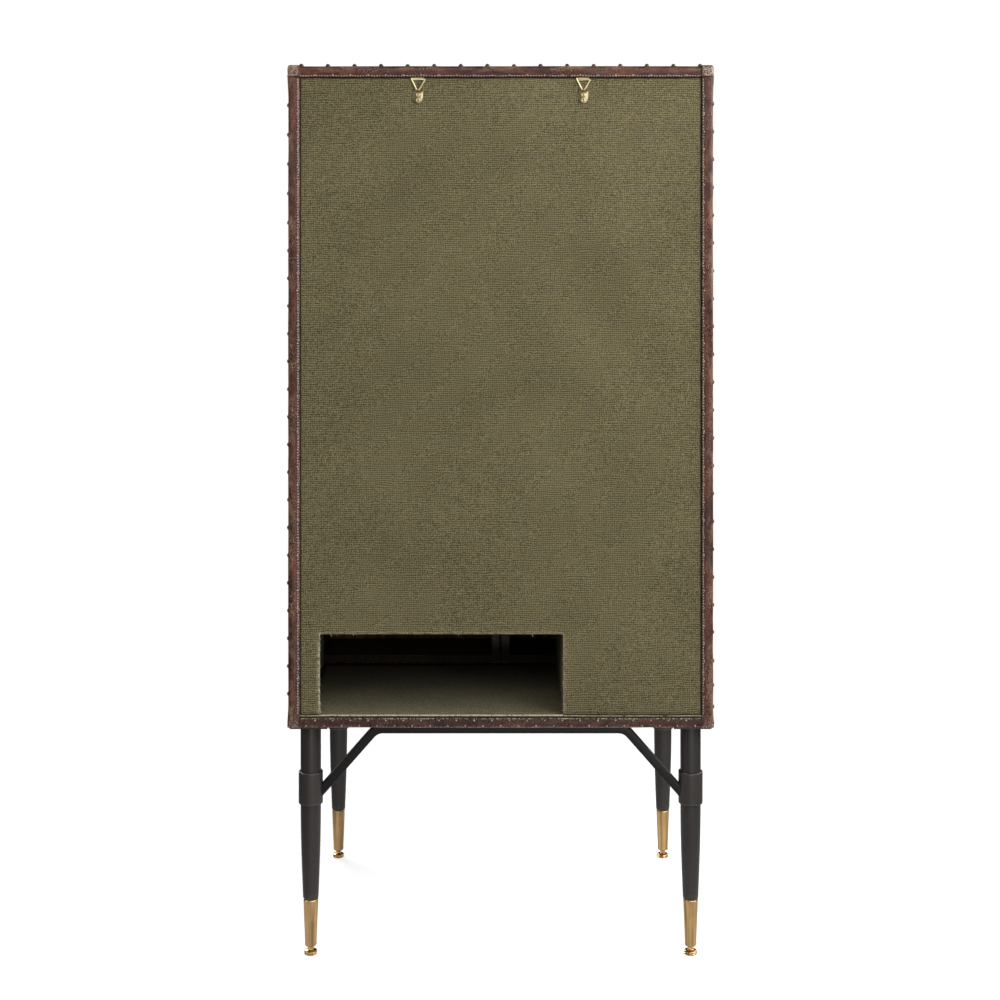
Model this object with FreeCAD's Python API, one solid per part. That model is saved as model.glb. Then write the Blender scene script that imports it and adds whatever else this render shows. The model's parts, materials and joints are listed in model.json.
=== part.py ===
import FreeCAD, Part
import itertools
import math
import os

from FreeCAD import Vector

os.makedirs("parts", exist_ok=True)

# Wine cabinet, in millimetres. Front faces -Y, back faces +Y, +Z up.
# The origin is on the floor, at the centre of the whole cabinet's footprint.

# Overall sizes
cabinet_width = 635.0
cabinet_depth = 457.0
box_height = 990.0
leg_height = 350.0

# Boards and their coverings
board_thickness = 15.0
base_thickness = 17.0
leather_thickness = 1.5
lining_thickness = 1.0
board_edge_radius = 1.5

# Carcass and doors
carcass_depth = 313.0
seam_gap = 3.0
meeting_gap = 3.0
door_clearance = 2.0
door_board_thickness = 12.0
door_bottle_bay = 335.0
door_setback = 10.0
door_shelf_count = 2

# Back panel and its opening
panel_thickness = 6.0
canvas_thickness = 1.0
panel_recess = 2.0
panel_gap = 0.8
opening_margin = 29.5
opening_height = 122.0
opening_radius = 3.0
cleat_size = 10.0

# Inside
lower_bay_height = 335.0
inner_setback = 14.0
narrow_bay_width = 191.0
rack_board = 8.0
rack_rows = 3
rack_clearance = 0.2
upper_shelf_rise = 280.0
shelf_clearance = 0.5
shelf_front_setback = 20.0
pin_radius = 2.5
pin_clearance = 0.05
pin_reach = 12.0
pin_hole_depth = 10.0
pin_flange_radius = 5.0
pin_flange_thickness = 1.5
pin_row_inset = 45.0

# Stemware rails under the top
stemware_channels = 4
stemware_pitch = 100.0
stemware_web = 8.0
stemware_drop = 24.0
stemware_flange_width = 60.0
stemware_flange = 6.0
stemware_setback = 26.0

# Legs and stand
leg_inset = 30.0
leg_radius = 15.4
leg_wall = 2.0
knee_height = 188.0
cone_top_radius = 14.95
cone_top_drop = 6.0
cone_foot_radius = 11.7
spigot_radius = 9.0
spigot_length = 44.0
collar_radius = 18.3
collar_length = 48.5
collar_drop = 72.5
collar_edge = 1.5
collar_clearance = 0.1
ferrule_length = 72.0
ferrule_top_radius = 11.25
ferrule_foot_radius = 8.8
ferrule_edge = 1.2
ferrule_sole = 12.0
ferrule_clearance = 0.1
foot_radius = 9.8
foot_thickness = 6.5
foot_groove_depth = 0.7
foot_groove_width = 1.3
foot_exposed = 6.0
foot_stem_radius = 4.0
foot_stem_length = 38.0
foot_stem_clearance = 0.1

# Stretchers and mounting plates
bar_size = 13.0
bar_half_span = 188.5
bar_drop_to_collar = 91.5
plate_thickness = 2.0
leg_plate_side = 56.0
leg_plate_screw_offset = 20.0
tab_length = 70.0
tab_width = 30.0
tab_position = 120.0
tab_screw_along = 25.0
tab_screw_across = 11.0
stand_screw_radius = 3.4
stand_screw_height = 2.2
weld_gap = 0.05

# Nails and tacks
nail_radius = 3.0
nail_height = 2.0
nail_pitch = 40.0
nail_edge = 8.0
nail_corner_inset = 18.7
side_nail_pitch = 42.0
side_nail_low = 51.0
side_nail_top_drop = 14.0
tack_radius = 1.5
tack_height = 0.7
tack_pitch = 26.5
tack_edge = 2.8

# Wall hangers
hanger_half_spacing = 123.5
hanger_pivot_drop = 35.8
strap_width = 15.4
strap_length = 18.0
strap_thickness = 1.6
strap_neck_drop = 3.2
strap_corner_radius = 5.0
loop_width = 4.0
loop_wall = 0.8
ring_wire_radius = 0.9
ring_clearance = 0.35
ring_height = 16.9
ring_half_width = 10.3
ring_foot_half_width = 3.4
ring_bend_radius = 2.0
ring_split = 0.6
ring_rest_gap = 0.3
hanger_screw_drops = (5.0, 13.0)
hanger_screw_radius = 2.4
hanger_screw_height = 1.3

# Hinges
hinge_height = 70.0
hinge_margin = 90.0
hinge_count = 3
leaf_thickness = 1.8
leaf_width = 26.0
leaf_knuckle_relief = 4.8
knuckle_radius = 4.0
knuckle_face_gap = 0.3
knuckle_end_gap = 0.4
hinge_pin_radius = 2.0
hinge_pin_clearance = 0.08
hinge_pin_head_radius = 3.3
hinge_pin_head = 1.6
leaf_screw_radius = 2.7
leaf_screw_height = 1.2
leaf_screw_inset = 10.0

# Door pulls, bottle rails and catches
pull_projection = 30.0
pull_radius = 5.0
pull_length = 150.0
pull_post_radius = 4.0
pull_post_spacing = 112.0
pull_rosette_radius = 8.0
pull_rosette = 2.5
pull_from_edge = 24.0
pull_height = 560.0
rail_radius = 3.0
rail_flange_radius = 8.0
rail_flange = 3.0
rail_rise = 90.0
rail_from_edge = 14.0
top_rail_rise = 60.0
catch_length = 40.0
catch_depth = 16.0
catch_height = 12.0
catch_from_centre = 50.0
catch_reach = 1.3
strike_length = 34.0
strike_height = 9.0
strike_thickness = 1.2

# Working allowances
overrun = 5.0
snap = 1e-6

# Places worked out from the sizes above
half_width = cabinet_width / 2
loop_inner_radius = ring_wire_radius + ring_clearance
loop_radius = loop_inner_radius + loop_wall
back_reach = 2 * loop_radius - panel_recess
y_back = (cabinet_depth + pull_projection - back_reach) / 2
y_front = y_back - cabinet_depth
y_carcass = y_back - carcass_depth
y_seam = y_carcass - seam_gap / 2
y_door = y_carcass - seam_gap
y_canvas = y_back - panel_recess
y_panel = y_canvas - canvas_thickness
y_inside = y_panel - panel_thickness
z_base = leg_height
z_top = leg_height + box_height
z_under_top = z_top - leather_thickness - board_thickness
z_on_base = z_base + leather_thickness + base_thickness
z_floor = z_on_base + lining_thickness
z_ceiling = z_under_top - lining_thickness
z_shelf = z_floor + lower_bay_height
z_shelf_top = z_shelf + board_thickness
z_upper_shelf = z_shelf_top + upper_shelf_rise
x_board = half_width - leather_thickness - board_thickness
x_inside = x_board - lining_thickness
x_partition = -x_inside + narrow_bay_width
x_opening = x_partition + board_thickness
x_opening_end = x_board - opening_margin
z_lintel = z_on_base + opening_height
y_inner_front = y_carcass + inner_setback
z_door = z_on_base + door_clearance
z_door_top = z_under_top - door_clearance
leather_radius = board_edge_radius + leather_thickness
hinge_x = half_width + knuckle_face_gap + knuckle_radius
leg_x = half_width - leg_inset
leg_ys = {"front": y_front + leg_inset, "rear": y_back - leg_inset}
z_ferrule = foot_thickness + foot_exposed
z_shoulder = z_ferrule + ferrule_length
z_leg_top = z_base - plate_thickness
z_collar_top = z_base - collar_drop
z_collar = z_collar_top - collar_length
sides = {"left": -1, "right": 1}
pivot_z = z_top - hanger_pivot_drop
pivot_y = y_canvas + loop_radius


# Shape helpers

def block(x0, x1, y0, y1, z0, z1):
    """A box between two corners given as low and high values in any order."""
    low = Vector(min(x0, x1), min(y0, y1), min(z0, z1))
    return Part.makeBox(abs(x1 - x0), abs(y1 - y0), abs(z1 - z0), low)


def rounded_block(low, high, faces, radius):
    """A box whose edges are rounded wherever both faces beside them are named."""
    shape = block(low[0], high[0], low[1], high[1], low[2], high[2])
    planes = {"-x": (0, low[0]), "+x": (0, high[0]), "-y": (1, low[1]), "+y": (1, high[1]),
              "-z": (2, low[2]), "+z": (2, high[2])}
    chosen = []
    for edge in shape.Edges:
        centre = edge.CenterOfMass
        beside = [name for name, (axis, value) in planes.items() if abs(centre[axis] - value) < snap]
        if all(name in faces for name in beside):
            chosen.append(edge)
    return shape.makeFillet(radius, chosen)


def wrapped_board(low, high, faces):
    """A board inside a leather wrap that covers the named faces of the outer box."""
    outer = rounded_block(low, high, faces, leather_radius)
    inner_low = [low[i] + leather_thickness * (name in faces) for i, name in enumerate(("-x", "-y", "-z"))]
    inner_high = [high[i] - leather_thickness * (name in faces) for i, name in enumerate(("+x", "+y", "+z"))]
    board = rounded_block(inner_low, inner_high, faces, board_edge_radius)
    return board, outer.cut(board)


def revolved(points, x, y):
    """A turned solid from a closed outline of radius and height, about a vertical axis."""
    outline = [Vector(r, 0, z) for r, z in points]
    face = Part.Face(Part.makePolygon(outline + [outline[0]]))
    solid = face.revolve(Vector(0, 0, 0), Vector(0, 0, 1), 360)
    solid.translate(Vector(x, y, 0))
    return solid


def dome(point, normal, radius, height):
    """A round nail head: a cap of a sphere standing on its flat base."""
    ball = (radius * radius + height * height) / (2 * height)
    centre = point - normal * (ball - height)
    lowest = math.degrees(math.asin((ball - height) / ball))
    return Part.makeSphere(ball, centre, normal, lowest, 90, 360)


def spread(first, last, pitch):
    """Even places from first to last, as near to the pitch as fits."""
    steps = max(1, round(abs(last - first) / pitch))
    return [first + (last - first) * i / steps for i in range(steps + 1)]


def save(name, solids):
    """Write one node from a list of separate solids."""
    shape = solids[0] if len(solids) == 1 else Part.makeCompound(solids)
    shape.exportStep("parts/" + name + ".step")


# Carcass boards and their leather

def carcass():
    """Top and bottom boards over the full depth, side boards over the carcass depth."""
    top, top_leather = wrapped_board((-half_width, y_front, z_under_top), (half_width, y_back, z_top),
                                     ("-x", "+x", "-y", "+y", "+z"))
    base, base_leather = wrapped_board((-half_width, y_front, z_base), (half_width, y_back, z_on_base),
                                       ("-x", "+x", "-y", "+y", "-z"))
    save("top_board", [top])
    save("top_leather", [top_leather])
    save("bottom_board", [base])
    save("bottom_leather", [base_leather])
    for name, side in sides.items():
        xs = sorted((side * half_width, side * x_board))
        outer_face = "+x" if side > 0 else "-x"
        board, leather = wrapped_board((xs[0], y_carcass, z_on_base), (xs[1], y_back, z_under_top),
                                       (outer_face, "-y", "+y"))
        for hole in pin_places(side):
            board = board.cut(pin_bore(hole, side, pin_hole_depth))
        save(name + "_side_board", [board])
        save(name + "_side_leather", [leather])


def pin_places(side):
    """The two shelf pins on one side, as points on the lining's face."""
    z = z_upper_shelf - pin_radius
    ys = (y_inner_front + pin_row_inset, y_inside - pin_row_inset)
    return [Vector(side * x_inside, y, z) for y in ys]


def pin_bore(place, side, depth):
    """The hole for one shelf pin through the lining and into the side board."""
    along = Vector(side, 0, 0)
    return Part.makeCylinder(pin_radius + pin_clearance, lining_thickness + depth, place, along)


# Back panel

def panel_boards():
    """One board above the opening and a strip at each side of it, butted together."""
    x_edge = x_board - panel_gap
    z_low = z_on_base + panel_gap
    z_high = z_under_top - panel_gap
    return [block(-x_edge, x_edge, y_inside, y_panel, z_lintel, z_high),
            block(-x_edge, x_opening, y_inside, y_panel, z_low, z_lintel),
            block(x_opening_end, x_edge, y_inside, y_panel, z_low, z_lintel)]


def rounded_opening(y0, y1):
    """The opening down to the floor, with its two upper corners drawn round by the canvas."""
    space = block(x_opening, x_opening_end, y0 - overrun, y1 + overrun, z_base, z_lintel)
    corners = [e for e in space.Edges if abs(e.CenterOfMass.z - z_lintel) < snap
               and abs(e.tangentAt(e.FirstParameter).y) > 1 - snap]
    return space.makeFillet(opening_radius, corners)


def back():
    """The back panel's boards, the canvas over them and the cleats that they are pinned to."""
    x_edge = x_board - panel_gap
    cloth = block(-x_edge, x_edge, y_panel, y_canvas, z_on_base + panel_gap, z_under_top - panel_gap)
    save("back_panel", panel_boards())
    save("back_canvas", [cloth.cut(rounded_opening(y_panel, y_canvas))])
    y_cleat = y_inside - cleat_size
    x_cleat = x_inside - cleat_size
    cleats = [block(-x_cleat, x_cleat, y_cleat, y_inside, z_ceiling - cleat_size, z_ceiling)]
    for side in sides.values():
        cleats.append(block(side * x_cleat, side * x_inside, y_cleat, y_inside, z_shelf_top, z_ceiling))
        cleats.append(block(side * x_cleat, side * x_inside, y_cleat, y_inside, z_floor, z_shelf))
    save("back_cleats", cleats)


# Inside of the carcass

def lining():
    """Canvas sheets on the floor, on both side walls and under the top."""
    sheets = [block(-x_board, x_board, y_carcass, y_inside, z_on_base, z_floor),
              block(-x_board, x_board, y_carcass, y_inside, z_ceiling, z_under_top)]
    for side in sides.values():
        sheet = block(side * x_inside, side * x_board, y_carcass, y_inside, z_floor, z_ceiling)
        for place in pin_places(side):
            sheet = sheet.cut(pin_bore(place, side, 0))
        sheets.append(sheet)
    save("canvas_lining", sheets)


def shelves():
    """The fixed centre shelf, the partition under it and the loose upper shelf on its pins."""
    save("centre_shelf", [block(-x_inside, x_inside, y_inner_front, y_inside, z_shelf, z_shelf_top)])
    save("partition", [block(x_partition, x_opening, y_inner_front, y_inside, z_floor, z_shelf)])
    x_shelf = x_inside - shelf_clearance
    y_shelf = y_inside - cleat_size - shelf_clearance
    y_shelf_front = y_inner_front + shelf_front_setback
    z_high = z_upper_shelf + board_thickness
    save("upper_shelf", [block(-x_shelf, x_shelf, y_shelf_front, y_shelf, z_upper_shelf, z_high)])
    pins = []
    for side in sides.values():
        for place in pin_places(side):
            out = Vector(side, 0, 0)
            stem = Part.makeCylinder(pin_radius, pin_reach + lining_thickness + pin_hole_depth,
                                     place - out * pin_reach, out)
            collar = Part.makeCylinder(pin_flange_radius, pin_flange_thickness,
                                       place - out * pin_flange_thickness, out)
            above = block(place.x - pin_reach, place.x + pin_reach, place.y - pin_flange_radius,
                          place.y + pin_flange_radius, z_upper_shelf, z_high)
            pins.append(stem.fuse(collar).cut(above).removeSplitter())
    save("shelf_pins", pins)


def bottle_rack():
    """An upright and shelves, slotted into each other half way, in the narrow bay."""
    y_rear = y_inside - cleat_size
    y_middle = (y_inner_front + y_rear) / 2
    x_middle = (-x_inside + x_partition) / 2
    cell = (lower_bay_height - rack_board * (rack_rows - 1)) / rack_rows
    half = rack_board / 2
    upright = block(x_middle - half, x_middle + half, y_inner_front, y_rear, z_floor, z_shelf)
    boards = []
    slot = half + rack_clearance
    for row in range(1, rack_rows):
        z = z_floor + row * cell + (row - 1) * rack_board
        board = block(-x_inside, x_partition, y_inner_front, y_rear, z, z + rack_board)
        notch = block(x_middle - slot, x_middle + slot, y_middle, y_rear + overrun, z, z + rack_board)
        boards.append(board.cut(notch))
        upright = upright.cut(block(x_middle - slot, x_middle + slot, y_inner_front - overrun, y_middle,
                                    z - rack_clearance, z + rack_board + rack_clearance))
    save("rack_upright", [upright])
    save("rack_shelves", boards)


def stemware():
    """T-shaped rails under the top, a web and a flange each, that hold glasses by the foot."""
    solids = []
    y_rear = y_inside - cleat_size
    for i in range(stemware_channels + 1):
        x = (i - stemware_channels / 2) * stemware_pitch
        z = z_ceiling - stemware_drop
        y = y_carcass + stemware_setback
        solids.append(block(x - stemware_web / 2, x + stemware_web / 2, y, y_rear, z, z_ceiling))
        solids.append(block(x - stemware_flange_width / 2, x + stemware_flange_width / 2, y, y_rear,
                            z - stemware_flange, z))
    save("stemware_rails", solids)


def catches():
    """One magnetic catch under the top for each door."""
    bodies = []
    for side in sides.values():
        x = side * catch_from_centre
        bodies.append(block(x - catch_length / 2, x + catch_length / 2, y_carcass - catch_reach,
                            y_carcass + catch_depth, z_ceiling - catch_height, z_ceiling))
    save("door_catches", bodies)


# Nails and tacks on the carcass

def carcass_nails():
    """Dome nails round the top and down both upright edges of each side."""
    up = Vector(0, 0, 1)
    x_row = half_width - nail_corner_inset
    places = []
    for y in (y_front + nail_edge, y_back - nail_edge):
        places += [Vector(x, y, z_top) for x in spread(-x_row, x_row, nail_pitch)]
    along = spread(y_front + nail_corner_inset, y_back - nail_corner_inset, nail_pitch)
    for side in sides.values():
        places += [Vector(side * (half_width - nail_edge), y, z_top) for y in along]
    nails = [dome(place, up, nail_radius, nail_height) for place in places]
    for side in sides.values():
        out = Vector(side, 0, 0)
        for y in (y_carcass + nail_edge, y_back - nail_edge):
            for z in side_nail_heights():
                if y < y_seam + leaf_width and near_hinge(z):
                    continue
                nails.append(dome(Vector(side * half_width, y, z), out, nail_radius, nail_height))
    save("carcass_nails", nails)


def side_nail_heights():
    """The heights of the nails in the upright rows on the sides."""
    return spread(z_base + side_nail_low, z_top - side_nail_top_drop, side_nail_pitch)


def edge_tacks():
    """Small tacks along the inner edge of the rear bands, and along both edges of the bottom one."""
    out = Vector(0, 1, 0)
    x_tack = x_board + tack_edge
    rows = [(z_under_top + tack_edge, 0), (z_on_base - tack_edge, 0),
            (z_base + leather_radius + tack_edge, 1)]
    places = []
    for z, shifted in rows:
        xs = spread(-x_tack, x_tack, tack_pitch)
        half_step = shifted * (xs[1] - xs[0]) / 2
        moved = [x + half_step for x in xs if x + half_step < half_width - leather_radius]
        places += [Vector(x, y_back, z) for x in moved]
    for side in sides.values():
        for z in spread(z_on_base + tack_edge, z_under_top - tack_edge, tack_pitch)[1:-1]:
            places.append(Vector(side * x_tack, y_back, z))
    save("edge_tacks", [dome(place, out, tack_radius, tack_height) for place in places])


# Legs and stand

def leg(x, y):
    """A tube that is straight above the knee, tapers below it and ends in a spigot."""
    z_cone = knee_height - cone_top_drop
    z_spigot = z_shoulder - spigot_length
    bore = spigot_radius - leg_wall
    outer = [(leg_radius, z_leg_top), (leg_radius, knee_height), (cone_top_radius, z_cone),
             (cone_foot_radius, z_shoulder), (spigot_radius, z_shoulder), (spigot_radius, z_spigot)]
    inner = [(bore, z_spigot), (bore, z_shoulder + leg_wall),
             (cone_foot_radius - leg_wall, z_shoulder + 2 * leg_wall),
             (cone_top_radius - leg_wall, z_cone), (leg_radius - leg_wall, knee_height),
             (leg_radius - leg_wall, z_leg_top)]
    return revolved(outer + inner, x, y)


def collar(x, y):
    """The sleeve on the leg that takes the stretcher's end."""
    bore = leg_radius + collar_clearance
    rim = collar_radius - collar_edge
    points = [(bore, z_collar), (rim, z_collar), (collar_radius, z_collar + collar_edge),
              (collar_radius, z_collar_top - collar_edge), (rim, z_collar_top), (bore, z_collar_top)]
    return revolved(points, x, y)


def ferrule(x, y):
    """The brass cap on the leg's spigot, tapped at its sole for the foot."""
    bore = spigot_radius + ferrule_clearance
    stem = foot_stem_radius + foot_stem_clearance
    z_sole = z_ferrule + ferrule_sole
    z_seat = z_shoulder - spigot_length
    clear = spigot_radius - leg_wall
    points = [(stem, z_ferrule), (ferrule_foot_radius - ferrule_edge, z_ferrule),
              (ferrule_foot_radius, z_ferrule + ferrule_edge), (ferrule_top_radius, z_shoulder),
              (bore, z_shoulder), (bore, z_seat), (clear, z_seat), (clear, z_sole), (stem, z_sole)]
    return revolved(points, x, y)


def leveller(x, y):
    """A grooved round foot on a threaded stem."""
    low = (foot_thickness - foot_groove_width) / 2
    high = low + foot_groove_width
    groove = foot_radius - foot_groove_depth
    z_stem = foot_thickness + foot_stem_length
    points = [(0, 0), (foot_radius, 0), (foot_radius, low), (groove, low), (groove, high),
              (foot_radius, high), (foot_radius, foot_thickness), (foot_stem_radius, foot_thickness),
              (foot_stem_radius, z_stem), (0, z_stem)]
    return revolved(points, x, y)


def stretcher(y):
    """A square bar under the box that bends down at both ends to meet the collars."""
    z_bar = z_leg_top - bar_size / 2
    z_end = z_bar - bar_drop_to_collar
    slope = bar_drop_to_collar / (leg_x - collar_radius - bar_half_span)
    run = math.hypot(1, slope)
    half = bar_size / 2
    # The mitre moves the bend along the bar, so that both runs keep the same thickness.
    mitre = half * math.tan(math.atan(slope) / 2)
    x_end = leg_x
    drop = (x_end - bar_half_span) * slope
    shift = half * run
    upper = [(-x_end, z_bar - drop + shift), (-bar_half_span - mitre, z_bar + half),
             (bar_half_span + mitre, z_bar + half), (x_end, z_bar - drop + shift)]
    lower = [(x_end, z_bar - drop - shift), (bar_half_span - mitre, z_bar - half),
             (-bar_half_span + mitre, z_bar - half), (-x_end, z_bar - drop - shift)]
    outline = [Vector(x, y - half, z) for x, z in upper + lower]
    bar = Part.Face(Part.makePolygon(outline + [outline[0]])).extrude(Vector(0, bar_size, 0))
    for side in sides.values():
        post = Part.makeCylinder(collar_radius + weld_gap, z_base, Vector(side * leg_x, y, 0))
        bar = bar.cut(post)
        x_beyond = side * (leg_x + collar_radius)
        beyond = block(side * leg_x, x_beyond, y - bar_size, y + bar_size, 0, z_end + shift)
        bar = bar.cut(beyond)
    return max(bar.Solids, key=lambda solid: solid.Volume)


def stand():
    """Four legs with collars, ferrules and feet, two stretchers, and plates screwed to the base."""
    collars, ferrules, plates, screws = [], [], [], []
    down = Vector(0, 0, -1)
    for row, y in leg_ys.items():
        save(row + "_stretcher", [stretcher(y)])
        for name, side in sides.items():
            x = side * leg_x
            save(row + "_" + name + "_leg", [leg(x, y)])
            save(row + "_" + name + "_leveller", [leveller(x, y)])
            collars.append(collar(x, y))
            ferrules.append(ferrule(x, y))
            half = leg_plate_side / 2
            plates.append(block(x - half, x + half, y - half, y + half, z_leg_top, z_base))
            xt = side * tab_position
            plates.append(block(xt - tab_length / 2, xt + tab_length / 2,
                                y - tab_width / 2, y + tab_width / 2, z_leg_top, z_base))
            offset = leg_plate_screw_offset
            for i, j in itertools.product((-1, 1), (-1, 1)):
                corner = Vector(x + i * offset, y + j * offset, z_leg_top)
                tab = Vector(xt + i * tab_screw_along, y + j * tab_screw_across, z_leg_top)
                for place in (corner, tab):
                    screws.append(dome(place, down, stand_screw_radius, stand_screw_height))
    save("leg_collars", collars)
    save("leg_ferrules", ferrules)
    save("stand_plates", plates)
    save("stand_screws", screws)


# Wall hangers

def bent_path(points, radius):
    """Straight runs through the points, joined by tangent arcs of one radius."""
    edges = []
    start = points[0]
    for before, corner, after in zip(points, points[1:], points[2:]):
        back_way = (before - corner).normalize()
        on_way = (after - corner).normalize()
        half_angle = back_way.getAngle(on_way) / 2
        reach = radius / math.tan(half_angle)
        first = corner + back_way * reach
        last = corner + on_way * reach
        middle_way = (back_way + on_way).normalize()
        middle = corner + middle_way * (radius / math.sin(half_angle) - radius)
        edges.append(Part.LineSegment(start, first).toShape())
        edges.append(Part.Arc(first, middle, last).toShape())
        start = last
    edges.append(Part.LineSegment(start, points[-1]).toShape())
    return Part.Wire(edges)


def hanger_ring(x):
    """A wire triangle with its short foot in the strap's loop, leaning on the canvas."""
    high = ring_height
    outline = [(ring_split / 2, high), (ring_half_width, high), (ring_foot_half_width, 0),
               (-ring_foot_half_width, 0), (-ring_half_width, high), (-ring_split / 2, high)]
    points = [Vector(x + u, pivot_y, pivot_z + v) for u, v in outline]
    circle = Part.Wire(Part.makeCircle(ring_wire_radius, points[0], Vector(1, 0, 0)))
    ring = bent_path(points, ring_bend_radius).makePipeShell([circle], True, True)
    lean = math.degrees(math.asin((loop_radius - ring_wire_radius - ring_rest_gap) / ring_height))
    ring.rotate(Vector(x, pivot_y, pivot_z), Vector(1, 0, 0), lean)
    return ring


def hanger_strap(x):
    """A folded strap with a round loop at its top."""
    z_neck = pivot_z - strap_neck_drop
    plate = block(x - strap_width / 2, x + strap_width / 2, y_canvas, y_canvas + strap_thickness,
                  z_neck - strap_length, z_neck)
    corners = [e for e in plate.Edges if abs(e.tangentAt(e.FirstParameter).y) > 1 - snap]
    plate = plate.makeFillet(strap_corner_radius, corners)
    neck = block(x - loop_width / 2, x + loop_width / 2, y_canvas, y_canvas + strap_thickness,
                 z_neck - strap_thickness, pivot_z)
    start = Vector(x - loop_width / 2, pivot_y, pivot_z)
    along = Vector(1, 0, 0)
    loop = Part.makeCylinder(loop_radius, loop_width, start, along)
    hole = Part.makeCylinder(loop_inner_radius, loop_width, start, along)
    return plate.fuse([neck, loop]).cut(hole).removeSplitter()


def hangers():
    """Two straps screwed to the back, each with a ring that swings in its loop."""
    straps, screws = [], []
    for name, side in sides.items():
        x = side * hanger_half_spacing
        straps.append(hanger_strap(x))
        for drop in hanger_screw_drops:
            place = Vector(x, y_canvas + strap_thickness, pivot_z - drop - hanger_screw_radius)
            screws.append(dome(place, Vector(0, 1, 0), hanger_screw_radius, hanger_screw_height))
        save(name + "_hanger_ring", [hanger_ring(x)])
    save("hanger_straps", straps)
    save("hanger_screws", screws)


# Hinges

def hinge_bottoms():
    """The lower end of each hinge, spread over the door's height."""
    first = z_door + hinge_margin
    last = z_door_top - hinge_margin - hinge_height
    return [first + (last - first) * i / (hinge_count - 1) for i in range(hinge_count)]


def near_hinge(z):
    """True where a nail at this height would stand on a hinge leaf."""
    return any(low - 2 * nail_radius < z < low + hinge_height + 2 * nail_radius for low in hinge_bottoms())


def knuckles(low, on_door):
    """The stretches of the barrel that belong to one leaf: the middle one is the door's."""
    third = hinge_height / 3
    rows = [1] if on_door else [0, 2]
    gap = knuckle_end_gap / 2
    return [(low + i * third + gap, low + (i + 1) * third - gap) for i in rows]


def hinge_leaf(side, low, on_door):
    """One leaf with its own knuckles, lying on the outer leather beside the seam."""
    way = -1 if on_door else 1
    x0, x1 = side * half_width, side * (half_width + leaf_thickness)
    inner = y_seam + way * leaf_knuckle_relief
    leaf = block(x0, x1, inner, y_seam + way * leaf_width, low, low + hinge_height)
    bodies = []
    for z0, z1 in knuckles(low, on_door):
        bodies.append(block(x0, x1, y_seam + way * (seam_gap / 2), inner, z0, z1))
        bodies.append(block(side * (hinge_x - knuckle_radius + leaf_thickness / 2), side * hinge_x,
                            y_seam, inner, z0, z1))
        bodies.append(Part.makeCylinder(knuckle_radius, z1 - z0, Vector(side * hinge_x, y_seam, z0)))
    bore = Part.makeCylinder(hinge_pin_radius + hinge_pin_clearance, hinge_height,
                             Vector(side * hinge_x, y_seam, low))
    return leaf.fuse(bodies).cut(bore).removeSplitter()


def leaf_screws(side, low, on_door):
    """Three round screw heads on one leaf."""
    way = -1 if on_door else 1
    x = side * (half_width + leaf_thickness)
    y = y_seam + way * (leaf_knuckle_relief + leaf_width) / 2
    zs = (low + leaf_screw_inset, low + hinge_height / 2, low + hinge_height - leaf_screw_inset)
    return [dome(Vector(x, y, z), Vector(side, 0, 0), leaf_screw_radius, leaf_screw_height) for z in zs]


def hinge_pin(side, low):
    """The pin with a head at each end, held by the frame leaf's knuckles."""
    z0 = low + knuckle_end_gap / 2
    z1 = low + hinge_height - knuckle_end_gap / 2
    head = hinge_pin_head_radius
    points = [(0, z0 - hinge_pin_head), (head, z0 - hinge_pin_head), (head, z0), (hinge_pin_radius, z0),
              (hinge_pin_radius, z1), (head, z1), (head, z1 + hinge_pin_head), (0, z1 + hinge_pin_head)]
    return revolved(points, side * hinge_x, y_seam)


def hinges():
    """Frame leaves, door leaves, their screws and the pins."""
    frame_leaves, pins = [], []
    for name, side in sides.items():
        door_leaves = []
        for low in hinge_bottoms():
            frame_leaves.append(hinge_leaf(side, low, False))
            frame_leaves += leaf_screws(side, low, False)
            door_leaves.append(hinge_leaf(side, low, True))
            door_leaves += leaf_screws(side, low, True)
            pins.append(hinge_pin(side, low))
        save(name + "_door_hinge_leaves", door_leaves)
    save("hinge_frame_leaves", frame_leaves)
    save("hinge_pins", pins)


# Doors

def door(name, side):
    """A deep tray that closes one half of the front."""
    x_meet = side * meeting_gap / 2
    x_out = side * half_width
    xs = sorted((x_meet, x_out))
    body, leather = wrapped_board((xs[0], y_front, z_door), (xs[1], y_door, z_door_top),
                                  ("-x", "+x", "-y", "-z", "+z"))
    save(name + "_door_leather", [leather])
    low_x, high_x = xs[0] + leather_thickness, xs[1] - leather_thickness
    low_z, high_z = z_door + leather_thickness, z_door_top - leather_thickness
    y_tray = y_front + leather_thickness + board_thickness
    inner = (low_x + door_board_thickness, high_x - door_board_thickness,
             low_z + door_board_thickness, high_z - door_board_thickness)
    save(name + "_door_front_board", [body.common(block(low_x, high_x, y_front, y_tray, low_z, high_z))])
    rim = [block(low_x, inner[0], y_tray, y_door, low_z, high_z),
           block(inner[1], high_x, y_tray, y_door, low_z, high_z),
           block(inner[0], inner[1], y_tray, y_door, low_z, inner[2]),
           block(inner[0], inner[1], y_tray, y_door, inner[3], high_z)]
    save(name + "_door_tray", [board.common(body) for board in rim])
    door_inside(name, inner, y_tray)
    door_fittings(name, side, x_meet)


def door_inside(name, inner, y_tray):
    """Shelves across the tray and brass rails that keep bottles on them."""
    x0, x1, z0, z1 = inner
    floors = [z0]
    boards = []
    for _ in range(door_shelf_count):
        z = floors[-1] + door_bottle_bay
        boards.append(block(x0, x1, y_tray, y_door - door_setback, z, z + door_board_thickness))
        floors.append(z + door_board_thickness)
    save(name + "_door_shelves", boards)
    rails = []
    for level, rise in zip(floors, [rail_rise] * door_shelf_count + [top_rail_rise]):
        rails.append(bottle_rail(x0, x1, y_door - rail_from_edge, level + rise))
    save(name + "_door_rails", rails)


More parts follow.
